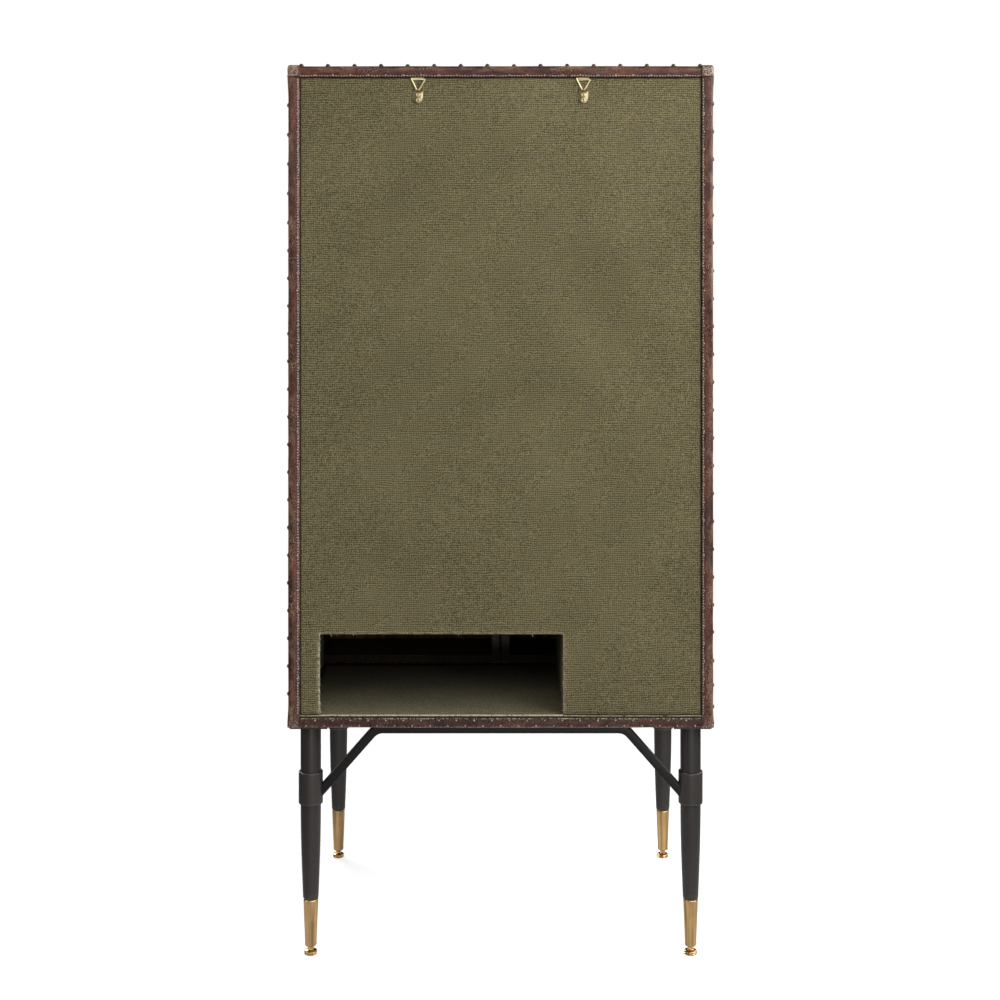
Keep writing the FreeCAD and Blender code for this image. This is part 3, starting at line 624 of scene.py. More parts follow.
def rounded(corners, reach, steps=6, closed=False):
    """Corners drawn round: (1-t)^2 a + 2t(1-t) corner + t^2 b, with a and b a reach away along the runs."""
    corners = np.asarray(corners, float)
    reach = np.broadcast_to(np.asarray(reach, float).reshape(-1, 1), (len(corners), 1))

    def toward(neighbours):
        way = neighbours - corners
        run = np.linalg.norm(way, axis=1, keepdims=True)
        return corners + way * np.minimum(reach / np.maximum(run, 1e-9), 0.5)

    first = toward(np.roll(corners, 1, 0))[:, None]
    last = toward(np.roll(corners, -1, 0))[:, None]
    t = np.linspace(0, 1, steps)[None, :, None]
    arcs = (1 - t) ** 2 * first + 2 * t * (1 - t) * corners[:, None] + t ** 2 * last
    if closed:
        return arcs.reshape(-1, corners.shape[1])
    return np.concatenate([corners[:1], arcs[1:-1].reshape(-1, corners.shape[1]), corners[-1:]])


def turned(profile, foot, direction=(0, 0, 1), count=None):
    """A profile of radius and height turned about an axis: foot + r cos(a) u + r sin(a) v + h w."""
    profile = np.asarray(profile, float)
    count = count or bpy.context.scene.cabinet_sizes.turned_sides
    first, second = cross_ways(direction)
    angle = np.linspace(0, 2 * math.pi, count, endpoint=False)
    ring = np.cos(angle)[:, None] * first + np.sin(angle)[:, None] * second
    rise = profile[:, 1, None, None] * np.asarray(direction, float)
    points = np.asarray(foot, float) + profile[:, 0, None, None] * ring[None] + rise
    return points.reshape(-1, 3), quad_grid(len(profile), count, wrap=True)


def swept(path, outline, sideways):
    """An outline of u and v carried along a path and closed at both ends.

    Each point is path + u (sideways x tangent) + v sideways.
    """
    path = np.asarray(path, float)
    sideways = np.asarray(sideways, float)
    tangent = unit(np.gradient(path, axis=0))
    normal = unit(np.cross(sideways, tangent))
    body = path[:, None] + outline[None, :, :1] * normal[:, None] + outline[None, :, 1:] * sideways
    ends = np.broadcast_to(path[[0, -1]][:, None], (2, len(outline), 3))
    points = np.concatenate([ends[:1], body, ends[1:]])
    return points.reshape(-1, 3), quad_grid(len(points), len(outline), wrap=True)


def round_outline(radius, count):
    """A circle as u and v."""
    angle = np.linspace(0, 2 * math.pi, count, endpoint=False)
    return radius * np.stack([np.cos(angle), np.sin(angle)], -1)


def copied(shape, places, outward, seed, spread_share=0.05, lean=0.06):
    """Copies of a small shape that stands on +Z, each turned to its outward direction, a little uneven."""
    points, quads = shape
    chance = np.random.default_rng(seed)
    places = np.asarray(places, float)
    outward = unit(np.asarray(outward, float) + chance.normal(0, lean, places.shape))
    first, second = cross_ways(outward)
    scale = 1 + chance.uniform(-spread_share, spread_share, len(places))[:, None, None]
    local = points[None, :, :1] * first[:, None] + points[None, :, 1:2] * second[:, None]
    local = local + points[None, :, 2:] * outward[:, None]
    every = places[:, None] + scale * local
    starts = (np.arange(len(places)) * len(points))[:, None, None]
    return every.reshape(-1, 3), (quads[None] + starts).reshape(-1, 4)


def even(first, last, pitch):
    """Even places from first to last, as near to the pitch as fits."""
    return np.linspace(first, last, max(1, round(abs(last - first) / pitch)) + 1)


def box_lines(low, high, radius, step, round_low, round_high, rim):
    """Grid lines on one axis: even runs, r tan(t) in a bend with t up to 45 degrees, fine at a raw rim."""
    bend = radius * np.tan(np.linspace(0, math.pi / 4, 6))
    edge = np.array([0.0, 0.5, 1.0]) * rim
    inner_low = low + (radius if round_low else rim)
    inner_high = high - (radius if round_high else rim)
    runs = even(inner_low, inner_high, step)
    start = inner_low - bend[:0:-1] if round_low else low + edge[:-1]
    end = inner_high + bend[1:] if round_high else high - edge[1::-1]
    return np.concatenate([start, runs, end])


def wrapped_shell(low, high, radius, covered, step, rim):
    """Leather over the named faces of a box.

    A point p of the box goes to c + r (p - c) / |p - c|, where c is the nearest point of the core, which is
    the box less r behind each covered face. Also gives each point's outward way, how near it is to a bend
    and how near to a raw rim, both from 0 to 1, and a swell 4 a b / (a + b)^2 across a narrow face, with a
    and b the ways to its bend and its rim.
    """
    rim_reach_share = 1.3
    bend_reach_share = 1.6
    fading_share = 0.25
    far_share = 9
    names = (("-x", "+x"), ("-y", "+y"), ("-z", "+z"))
    low, high = np.asarray(low, float), np.asarray(high, float)
    has = np.array([[name in covered for name in pair] for pair in names])
    core_low = np.where(has[:, 0], low + radius, -np.inf)
    core_high = np.where(has[:, 1], high - radius, np.inf)
    lines = [box_lines(low[i], high[i], radius, step, has[i, 0], has[i, 1], rim) for i in range(3)]
    parts, ways, flats = [], [], []
    for axis, end in np.argwhere(has):
        b, c = [i for i in range(3) if i != axis]
        flat = np.zeros((len(lines[b]), len(lines[c]), 3))
        flat[..., axis] = (low, high)[end][axis]
        flat[..., b] = lines[b][:, None]
        flat[..., c] = lines[c][None, :]
        flat = flat.reshape(-1, 3)
        core = np.clip(flat, core_low, core_high)
        way = unit(flat - core)
        parts.append((core + radius * way, quad_grid(len(lines[b]), len(lines[c]))))
        ways.append(way)
        flats.append(flat)
    points, quads = joined(parts)
    way, flat = np.concatenate(ways), np.concatenate(flats)
    gaps = np.stack([np.where(has[:, 0], flat - low, np.inf), np.where(has[:, 1], high - flat, np.inf)])
    second = np.sort(gaps.min(0), axis=1)[:, 1]
    open_gaps = np.stack([np.where(has[:, 0], np.inf, flat - low), np.where(has[:, 1], np.inf, high - flat)])
    near_rim = np.clip(rim_reach_share - open_gaps.min((0, 2)) / rim, 0, 1)
    near_bend = np.exp(-second / (bend_reach_share * radius))
    narrow = bpy.context.scene.cabinet_sizes.strip_width
    to_bend = np.minimum(second, far_share * narrow)
    to_rim = np.where(np.abs(way) < 0.5, open_gaps.min(0), np.inf).min(1)
    to_rim = np.minimum(to_rim, far_share * narrow)
    width = np.maximum(to_bend + to_rim, rim)
    fading = np.clip((1 + fading_share - width / narrow) / fading_share, 0, 1)
    swell = 4 * to_bend * to_rim / width ** 2 * fading
    return points, quads, way, near_bend, near_rim, swell


def facing(points, quads, way):
    """Quads turned so that each looks along the way given at its points."""
    a, b, d = points[quads[:, 0]], points[quads[:, 1]], points[quads[:, 3]]
    wrong = (np.cross(b - a, d - a) * way[quads].mean(1)).sum(1) < 0
    return np.where(wrong[:, None], quads[:, ::-1], quads)


def all_along(way, points):
    """One way, given at every point."""
    return np.broadcast_to(np.array(way, float), points.shape)


def waves(points, height, seed, pull=(0, 0, 0)):
    """Slow unevenness: a sum of sines of the place in seeded directions and lengths, drawn towards a pull."""
    chance = np.random.default_rng(seed)
    ways = unit(chance.normal(0, 1, (7, 3)) + np.asarray(pull)) * chance.uniform(25, 95, (7, 1))
    phases = chance.uniform(0, 2 * math.pi, 7)
    return height * np.sin(points @ ways.T + phases).sum(1) / 2.6


# Pieces

def make_piece(name, shape, look, body, nodes=(), marks=None, closed=True, sharp=math.radians(40)):
    """One piece from points and quads: doubles merged, smooth, riding on its body."""
    points, quads = shape
    mesh = bpy.data.meshes.new(name)
    mesh.vertices.add(len(points))
    mesh.vertices.foreach_set("co", np.ascontiguousarray(points, np.float32).ravel())
    mesh.loops.add(quads.size)
    mesh.loops.foreach_set("vertex_index", np.ascontiguousarray(quads, np.int32).ravel())
    mesh.polygons.add(len(quads))
    mesh.polygons.foreach_set("loop_start", np.arange(0, quads.size, 4, dtype=np.int32))
    mesh.update(calc_edges=True)
    for key, values in (marks or {}).items():
        mesh.attributes.new(key, "FLOAT", "POINT").data.foreach_set("value", np.asarray(values, np.float32))
    cleaned = bmesh.new()
    cleaned.from_mesh(mesh)
    bmesh.ops.remove_doubles(cleaned, verts=cleaned.verts, dist=2e-6)
    bmesh.ops.dissolve_degenerate(cleaned, edges=cleaned.edges, dist=1e-7)
    if closed:
        bmesh.ops.recalc_face_normals(cleaned, faces=cleaned.faces)
    cleaned.to_mesh(mesh)
    cleaned.free()
    mesh.polygons.foreach_set("use_smooth", np.ones(len(mesh.polygons), bool))
    mesh.set_sharp_from_angle(angle=sharp)
    mesh.materials.append(look)
    made = bpy.data.objects.new(name, mesh)
    bpy.context.scene.collection.objects.link(made)
    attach(made, body)
    if nodes:
        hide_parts(*nodes)
    return made


def thicken(made, thickness):
    """A skin's inner face and rim, behind its outer face."""
    wall = made.modifiers.new("thickness", "SOLIDIFY")
    wall.thickness = thickness
    wall.offset = -1.0
    wall.use_even_offset = False
    return made


def sheet_shape(first, second, u_axis, v_axis, level, level_axis, ripple, seed):
    """A level grid over two axes with slow waves across it."""
    points = np.zeros((len(first), len(second), 3))
    points[..., u_axis] = first[:, None]
    points[..., v_axis] = second[None, :]
    points = points.reshape(-1, 3)
    points[:, level_axis] = level + waves(points, ripple, seed)
    return points, quad_grid(len(first), len(second))


def edge_gap(points):
    """How far each point lies from the nearer side or the top of the back canvas."""
    return np.minimum.reduce([points[:, 0] - canvas_low[0], canvas_high[0] - points[:, 0],
                              canvas_high[2] - points[:, 2]])


def canvas_rise(size, points):
    """Height of the stretched canvas: slow waves along its diagonal pull, dying out towards its edges."""
    rise = waves(points * [1, 0, 1], size.canvas_ripple, 11, size.canvas_pull)
    return rise * np.clip(edge_gap(points) / size.canvas_calm, 0, 1) ** 2


def tucked(size):
    """How far the canvas reaches into the panel's opening: a share of its thickness."""
    tuck_share = 0.75
    return size.canvas_thickness * tuck_share


def back_sheet(size):
    """The canvas of the back: a level grid with a hole, and a ring of rows that rolls into the opening.

    In the ring, the opening's edge is c + r (p - c) / |p - c| for each point p round the hole, with c the
    nearest point of the opening less r, and the roll is a quarter circle into the opening and then straight
    in.
    """
    border_shares = np.array([0.0, 0.25, 0.6, 1.0, 1.6, 2.4, 3.4, 4.6])
    depth_shares = np.array([0.35, 0.7, 1.0])
    shaded_share = 0.25
    lit_share = 0.45
    hair = 1e-9
    inset = tucked(size)
    hole_low = opening_low[0] - size.opening_margin + inset
    hole_high = opening_high[0] + size.opening_margin - inset
    hole_top = opening_high[2] + size.opening_margin - inset
    margin = 2 * size.canvas_step
    roll = size.canvas_roll
    border = roll * border_shares
    x_left, x_right = hole_low - margin, hole_high + margin
    xs = np.concatenate([canvas_low[0] + border[:-1],
                         even(canvas_low[0] + border[-1], x_left, size.canvas_step),
                         even(x_left, x_right, size.canvas_step)[1:],
                         even(x_right, canvas_high[0] - border[-1], size.canvas_step)[1:],
                         canvas_high[0] - border[-2::-1]])
    z_ring = hole_top + margin
    zs = np.concatenate([even(canvas_low[2], z_ring, size.canvas_step),
                         even(z_ring, canvas_high[2] - border[-1], size.canvas_step)[1:],
                         canvas_high[2] - border[-2::-1]])
    main, quads = sheet_shape(xs, zs, 0, 2, y_canvas, 1, 0.0, 11)
    main[:, 1] += canvas_rise(size, main)
    middle = main[quads].mean(1)
    in_hole = (middle[:, 0] > x_left) & (middle[:, 0] < x_right) & (middle[:, 2] < z_ring)
    edge = edge_gap(main)
    fall = np.clip(1 - edge / border[4], 0, 1)
    # The seam mark is painted shade along the canvas's sides and top, where it tucks under the leather bands.
    seam = np.exp(-(edge / (2 * roll)) ** 2)
    main[:, 1] -= roll * (1 - np.sqrt(np.clip(1 - fall ** 2, 0, 1)))
    side_zs = zs[zs <= z_ring + hair]
    top_xs = xs[(xs >= x_left - hair) & (xs <= x_right + hair)]
    outer = np.concatenate([np.stack([np.full(len(side_zs), x_left), side_zs], -1),
                            np.stack([top_xs, np.full(len(top_xs), z_ring)], -1)[1:-1],
                            np.stack([np.full(len(side_zs), x_right), side_zs], -1)[::-1]])
    radius = size.opening_radius
    core = np.clip(outer, [hole_low + radius, -np.inf], [hole_high - radius, hole_top - radius])
    way = unit(outer - core)
    lip = core + radius * way
    share = np.linspace(0, 1, 6)[:, None, None]
    flat = outer * (1 - share) + (lip + roll * way) * share
    turn = np.linspace(0, math.pi / 2, 7)[1:, None, None]
    bend = lip + roll * way * (1 - np.sin(turn))
    depth = depth_shares[:, None, None] * (y_canvas - y_inside - roll)
    plan = np.concatenate([flat, bend, lip + 0 * depth])
    back = np.concatenate([0 * share, roll * (1 - np.cos(turn)), roll + depth])
    ring = np.stack([plan[..., 0], y_canvas - np.broadcast_to(back, plan.shape)[..., 0], plan[..., 1]], -1)
    fading = np.concatenate([1 - share[:, 0, 0], 0 * turn[:, 0, 0], 0 * depth[:, 0, 0]])[:, None]
    ring[..., 1] += fading * canvas_rise(size, ring.reshape(-1, 3)).reshape(ring.shape[:2])
    fray = np.concatenate([share[:, 0, 0] ** 6, 1 + 0 * turn[:, 0, 0], 1 - depth[:, 0, 0] / depth.max()])
    # The pale fray is stronger on the side of the opening that faces the key light: painted highlight.
    by_light = shaded_share + lit_share * (way[:, 0] > 0.5)
    fray = (fray[:, None] * by_light).ravel()
    rim = (ring.reshape(-1, 3), quad_grid(len(ring), len(outer)))
    points, quads = joined([(main, quads[~in_hole]), rim])
    towards = np.zeros_like(points)
    towards[:, 1] = 1
    towards[len(main):, [0, 2]] = -np.broadcast_to(way, ring.shape[:2] + (2,)).reshape(-1, 2)
    used = np.unique(quads)
    order = np.full(len(points), -1)
    order[used] = np.arange(len(used))
    marks = {"fray": np.concatenate([0 * seam, fray])[used], "seam": np.concatenate([seam, 0 * fray])[used]}
    return points[used], order[facing(points, quads, towards)], marks


class CABINET_OT_back_canvas(Operator):
    """The canvas stretched over the back, rolled into the opening"""
    bl_idname = "cabinet.back_canvas"
    bl_label = "Back canvas"

    def execute(self, context):
        size = context.scene.cabinet_sizes
        points, quads, marks = back_sheet(size)
        made = make_piece("back_canvas_sheet", (points, quads), back_canvas_finish(), "cabinet",
                          ["back_canvas"], marks, closed=False)
        thicken(made, size.canvas_thickness)
        return {"FINISHED"}


class CABINET_OT_linings(Operator):
    """Canvas glued on the floor, the ceiling and both walls inside"""
    bl_idname = "cabinet.linings"
    bl_label = "Linings"

    def execute(self, context):
        size = context.scene.cabinet_sizes
        calm_share = 0.25
        step = 2 * size.canvas_step
        ripple = size.canvas_ripple * calm_share
        inset = size.canvas_thickness
        xs = even(lining_low[0] + inset, lining_high[0] - inset, step)
        ys = even(y_carcass + inset, y_inside, step)
        zs = even(z_on_base + inset, z_under_top - inset, step)
        board_x, board_y = xs[-1] - xs[0], ys[-1] - ys[0]
        floor_up, wall_in = np.array([0.0, 0.0, 1.0]), np.array([1.0, 0.0, 0.0])
        x_wall = span("centre_shelf")[1][0]
        z_floor = span("partition")[0][2]
        z_ceiling = span("stemware_rails")[1][2]
        level_flat = (board_x, board_y)
        wall_flat = (board_y, zs[-1] - zs[0])
        plans = [("lining_floor", xs, ys, 0, 1, z_floor, 2, floor_up, ("X", "Y"), "bottom_board", level_flat),
                 ("lining_ceiling", xs, ys, 0, 1, z_ceiling, 2, -floor_up, ("X", "Y"), "top_board",
                  level_flat)]
        for name, side in sides.items():
            plans.append(("lining_" + name + "_wall", ys, zs, 1, 2, side * x_wall, 0, -side * wall_in,
                          ("Y", "Z"), name + "_side_board", wall_flat))
        for seed, (name, us, vs, u, v, level, axis, up, threads, board, flat) in enumerate(plans):
            points, quads = sheet_shape(us, vs, u, v, level, axis, ripple, 20 + seed)
            points[:, axis] = level - np.abs(points[:, axis] - level) * up[axis]
            shape = (points, facing(points, quads, all_along(up, points)))
            made = make_piece(name, shape, lining_finish(threads), "cabinet",
                              ["canvas_lining"], {"fray": np.zeros(len(points))}, closed=False)
            thicken(made, size.canvas_thickness)
            edges = ["sill_canvas"] if name == "lining_floor" else []
        return {"FINISHED"}


class CABINET_OT_covered_boards(Operator):
    """Canvas folded round the front edge of the centre shelf and of the partition"""
    bl_idname = "cabinet.covered_boards"
    bl_label = "Covered boards"

    def execute(self, context):
        self.cover("centre_shelf", ("-y", "-z", "+z"), ("X", "Y"), 0, 2)
        self.cover("partition", ("-x", "+x", "-y"), ("Y", "Z"), 2, 0)
        return {"FINISHED"}

    def cover(self, node, covered, threads, width_axis, thin_axis):
        """A wrapped shell over three faces of the board, as one cloth folded round it."""
        size = bpy.context.scene.cabinet_sizes
        low, high = span(node)
        fray_share = 0.3
        points, quads, way, near_bend, _, _ = wrapped_shell(
            low, high, 2 * size.canvas_thickness, covered, 2 * size.canvas_step, size.canvas_thickness)
        shape = (points, facing(points, quads, way))
        made = make_piece(node + "_cover", shape, lining_finish(threads), "cabinet", [node],
                          {"fray": fray_share * near_bend ** 3}, closed=False)
        thicken(made, size.canvas_thickness)


def selvedge(size, name, x_low, x_high, wobble, seed):
    """A rolled cloth edge: half an ellipse of cloth carried along X, its height a slow wave."""
    turn = np.linspace(0, math.pi, 9)
    xs = even(x_low, x_high, 0.5 * size.canvas_step)
    chance = np.random.default_rng(seed)
    ripple = wobble * np.convolve(chance.normal(0, 1, len(xs) + 8), np.ones(9) / 9, "valid")[:, None]
    half = 0.0005
    sway_share = 0.6
    thin_share = 0.6
    points = np.zeros((len(xs), len(turn), 3))
    points[..., 0] = xs[:, None]
    points[..., 1] = y_back - size.hide_thickness + (half + ripple) * np.sin(turn)
    points[..., 2] = z_on_base - half + ripple * sway_share + half * np.cos(turn)
    points = points.reshape(-1, 3)
    shape = (points, facing(points, quad_grid(len(xs), len(turn)), all_along((0, 1, 0), points)))
    look = finish("cut_canvas_edge", canvas_cloth, "X", "Z", 1.9)
    made = make_piece(name, shape, look, "cabinet", (), {"fray": np.full(len(points), 1.2)},
                      closed=False)
    return thicken(made, size.canvas_thickness * thin_share)


class CABINET_OT_canvas_edges(Operator):
    """The rolled canvas edge along the foot of the back, the canvas over the sill and frayed thread ends"""
    bl_idname = "cabinet.canvas_edges"
    bl_label = "Canvas edges"

    def execute(self, context):
        size = context.scene.cabinet_sizes
        wobble = 0.0005
        selvedge(size, "back_selvedge", -x_board, x_board, wobble, 31)
        self.sill(size)
        self.shaded_edge_strip(size)
        self.threads(size)
        return {"FINISHED"}

    def sill(self, size):
        """Cloth over the base board's rear edge, level inside the opening and then rolled down."""
        z_floor = span("partition")[0][2]
        roll = size.canvas_roll
        sill_step = 0.003
        worn_rolls = 4
        turn = np.linspace(0, math.pi / 2, 6)[1:]
        ys = np.concatenate([even(y_inside, y_back - roll, sill_step), y_back - roll + roll * np.sin(turn)])
        fall = np.concatenate([np.zeros(len(ys) - len(turn)), roll * (1 - np.cos(turn))])
        xs = even(opening_low[0], opening_high[0], size.canvas_step)
        points = np.zeros((len(xs), len(ys), 3))
        points[..., 0] = xs[:, None]
        points[..., 1] = ys[None]
        points[..., 2] = z_floor - fall[None]
        points = points.reshape(-1, 3)
        shape = (points, facing(points, quad_grid(len(xs), len(ys)), all_along((0, 0.5, 1), points)))
        look = finish("sill_canvas", canvas_cloth, "X", "Y", 1.3)
        fray = 2 * np.clip((points[:, 1] - y_back + worn_rolls * roll) / (worn_rolls * roll), 0, 1)
        made = make_piece("sill_canvas", shape, look, "cabinet", (), {"fray": fray},
                          closed=False)
        thicken(made, size.canvas_thickness)

    def shaded_edge_strip(self, size):
        """A canvas strip at 0.3 of its colour over the base board's rear edge, from the sill to behind the
        base leather: painted shade in the gap there.
        """
        xs = even(-x_board, x_board, size.canvas_step)
        zs = even(z_on_base - size.strip_drop - size.hide_thickness, z_on_base, size.canvas_roll)
        proud_share = 0.25
        calm_share = 0.12
        level = y_back - size.hide_thickness + proud_share * size.canvas_thickness
        points, quads = sheet_shape(xs, zs, 0, 2, level, 1, calm_share * size.canvas_ripple, 33)
        look = finish("shaded_canvas_edge", canvas_cloth, "X", "Z", 0.3)
        shape = (points, facing(points, quads, all_along((0, 1, 0), points)))
        made = make_piece("turned_canvas_edge", shape, look, "cabinet", (),
                          {"fray": np.zeros(len(points))}, closed=False)
        thicken(made, 0.5 * size.canvas_thickness)

    def threads(self, size):
        """Loose ends at the opening's edge: thin tubes along short bent lines, q + t along + s t^2 droop."""
        chance = np.random.default_rng(41)
        margin = size.opening_margin - tucked(size)
        low, high, top = opening_low[0] - margin, opening_high[0] + margin, opening_high[2] + margin
        count = 30
        foot_clear = 0.004
        shortest = 0.0008
        longest = 0.0026
        stray = 0.55
        droop = np.array([0.0, 0.0, 0.7])
        sunk_share = 0.6
        thin_share = 0.45
        along = chance.uniform(0, 1, count)
        which = chance.integers(0, 3, count)
        z_start = canvas_low[2] + foot_clear
        up_side = z_start + (top - z_start) * along ** 2
        across = low + (high - low) * along
        starts = np.stack([np.choose(which, [np.full(count, low), across, np.full(count, high)]),
                           np.full(count, y_canvas - sunk_share * size.canvas_roll),
                           np.choose(which, [up_side, np.full(count, top), up_side])], -1)
        inward = np.array([[1.0, 0.2, 0.0], [0.0, 0.2, -1.0], [-1.0, 0.2, 0.0]])[which]
        way = inward + chance.normal(0, stray, (count, 3))
        reach = chance.uniform(shortest, longest, count)[:, None, None]
        t = np.linspace(0, 1, 5)[None, :, None]
        lines = starts[:, None] + reach * (t * unit(way)[:, None] - t ** 2 * droop)
        ring = round_outline(size.stitch_radius * thin_share, 4)
        tubes = [swept(line, ring, cross_ways(unit(line[-1:] - line[:1]))[0][0]) for line in lines]
        look = finish("pale_canvas_thread", spun_thread, "canvas_thread")
        make_piece("frayed_threads", joined(tubes), look, "cabinet")


def hide_piece(name, low, high, covered, body, nodes, look, seed=1, step=None, lift=0.0, rear_drop=0.0,
               pale=0.4, rubbed=0.0, seam=0.0, scuffed=0.0, corner=None):
    """A hide over a board: the wrapped shell with slow waves, padded strips and thinned raw edges.

    Its rear face may stop lower; rubbed draws a pale line along the low edge, exp(-((z - z0) / w)^2), and a
    corner is rubbed round by exp(-(d / w)^2) with d the way to it.
    """
    size = bpy.context.scene.cabinet_sizes
    skive_depth = 0.0009
    thinned_from_share = 0.3
    raw_from_share = 0.25
    line_width_share = 0.4
    corner_share = 0.55
    radius = size.hide_radius + lift
    points, quads, way, near_bend, near_rim, swell = wrapped_shell(
        low, high, radius, covered, step or size.hide_step, size.skive)
    thinned = np.maximum(near_rim - thinned_from_share, 0) * skive_depth
    rise = waves(points, size.hide_ripple, seed) - thinned
    points = points + way * (rise + (size.hide_swell if lift == 0 else 0) * swell)[:, None]
    up_share = (points[:, 2] - low[2]) / (high[2] - low[2])
    points[:, 2] -= rear_drop * up_share * np.clip(way[:, 1], 0, 1) ** 2
    raw = np.maximum(pale * np.maximum(near_rim - raw_from_share, 0) / (1 - raw_from_share),
                     scuffed * (near_rim < thinned_from_share))
    off_line = ((points[:, 2] - low[2]) / size.low_wear - 1) / line_width_share
    low_line = rubbed * np.exp(-off_line ** 2) * (way[:, 1] > 0)
    if corner is not None:
        away = np.linalg.norm(points - corner, axis=1)
        low_line = np.maximum(low_line, corner_share * np.exp(-(away / size.corner_wear) ** 2))
    # The seam mark darkens the raw rim as painted shade.
    marks = {"wear": near_bend, "raw": np.maximum(raw, low_line), "seam": seam * near_rim}
    made = make_piece(name, (points, facing(points, quads, way)), look, body, nodes, marks,
                      closed=False)
    return thicken(made, size.hide_thickness)


class CABINET_OT_hides(Operator):
    """Leather over the top, the base, both sides and both doors"""
    bl_idname = "cabinet.hides"
    bl_label = "Hides"

    def execute(self, context):
        size = context.scene.cabinet_sizes
        hide_piece("top_hide", top_low, top_high, ("-x", "+x", "-y", "+y", "+z"), "cabinet", ["top_leather"],
                   leather_finish("X"), seed=2)
        hide_piece("base_hide", base_low, base_high, ("-x", "+x", "-y", "+y", "-z"), "cabinet",
                   ["bottom_leather"], strip_finish(), seed=3, rear_drop=size.strip_drop, pale=0.9,
                   rubbed=1.2)
        for name, side in sides.items():
            low, high = span(name + "_side_leather")
            outer = "+x" if side > 0 else "-x"
            low[2] = z_base
            low[1] += size.hide_lap
            high[1] += size.hide_lap
            (high if side > 0 else low)[0] += side * size.hide_lap
            hide_piece(name + "_side_hide", low, high, (outer, "-y", "+y"), "cabinet",
                       [name + "_side_leather"], leather_finish("Z"), seed=4, pale=0.8, rubbed=0.5,
                       corner=(side * x_half, y_back, z_base))
            low, high = span(name + "_door_leather")
            hide_piece(name + "_door_hide", low, high, ("-x", "+x", "-y", "-z", "+z"), name + "_door",
                       [name + "_door_leather"], leather_finish("Z"), seed=6 + side)
        return {"FINISHED"}


class CABINET_OT_corner_patches(Operator):
    """Leather patches folded over the four corners of the top"""
    bl_idname = "cabinet.corner_patches"
    bl_label = "Corner patches"

    def execute(self, context):
        size = context.scene.cabinet_sizes
        overlap = 0.0006
        patch_step = 0.0018
        reach = np.array([size.patch_side, size.patch_side, z_top - z_under_top + overlap])
        for row, y_way in zip(rows, (-1, 1)):
            for name, side in sides.items():
                corner = np.array([side * x_half, y_back if y_way > 0 else y_front, z_top])
                ways = np.array([side, y_way, 1])
                outer = corner + ways * (size.patch_lift + size.hide_lap)
                inner = corner - ways * reach
                covered = ("+x" if side > 0 else "-x", "+y" if y_way > 0 else "-y", "+z")
                # Each patch's rim is darkened as painted shade by its seam mark.
                hide_piece(row + "_" + name + "_corner_patch", np.minimum(inner, outer),
                           np.maximum(inner, outer), covered, "cabinet", (), patch_finish(),
                           seed=50 + side + 3 * y_way, step=patch_step, lift=size.patch_lift, pale=0,
                           seam=1.0, scuffed=0.6)
        return {"FINISHED"}


def nail_head(size, height):
    """A dome with a small flange: a few rings turned about the nail's axis."""
    dome_shares = np.array([[1.08, -0.35], [1.08, 0.02], [0.98, 0.3], [0.72, 0.72], [0.38, 0.94], [0.0, 1.0]])
    return turned(dome_shares * [size.nail_radius, height], (0, 0, 0), count=10)


def tack_head(size):
    """A flat round tack."""
    head_shares = np.array([[1.0, -0.4], [1.0, 0.35], [0.62, 0.85], [0.0, 1.0]])
    return turned(head_shares * [size.tack_radius, size.tack_height], (0, 0, 0), count=8)


def strip_rise(size, edge):
    """Height of a padded strip at a way from its raw edge: 4 e (w - e) / w^2 of the swell."""
    width = z_top - z_under_top
    return size.hide_swell * 4 * edge * (width - edge) / width ** 2


def lined(xs, ys, zs):
    """Points from three coordinates, where a single number is repeated."""
    return np.stack(np.broadcast_arrays(np.asarray(xs, float), ys, zs), -1).reshape(-1, 3)


def hinge_clear(zs, size):
    """The heights that no hinge leaf covers."""
    low, high = span("hinge_frame_leaves")
    starts = np.linspace(low[2], high[2] - size.hinge_height, 3)
    room = 2 * size.nail_radius
    covered = (zs[:, None] > starts - room) & (zs[:, None] < starts + size.hinge_height + room)
    return zs[~covered.any(1)]


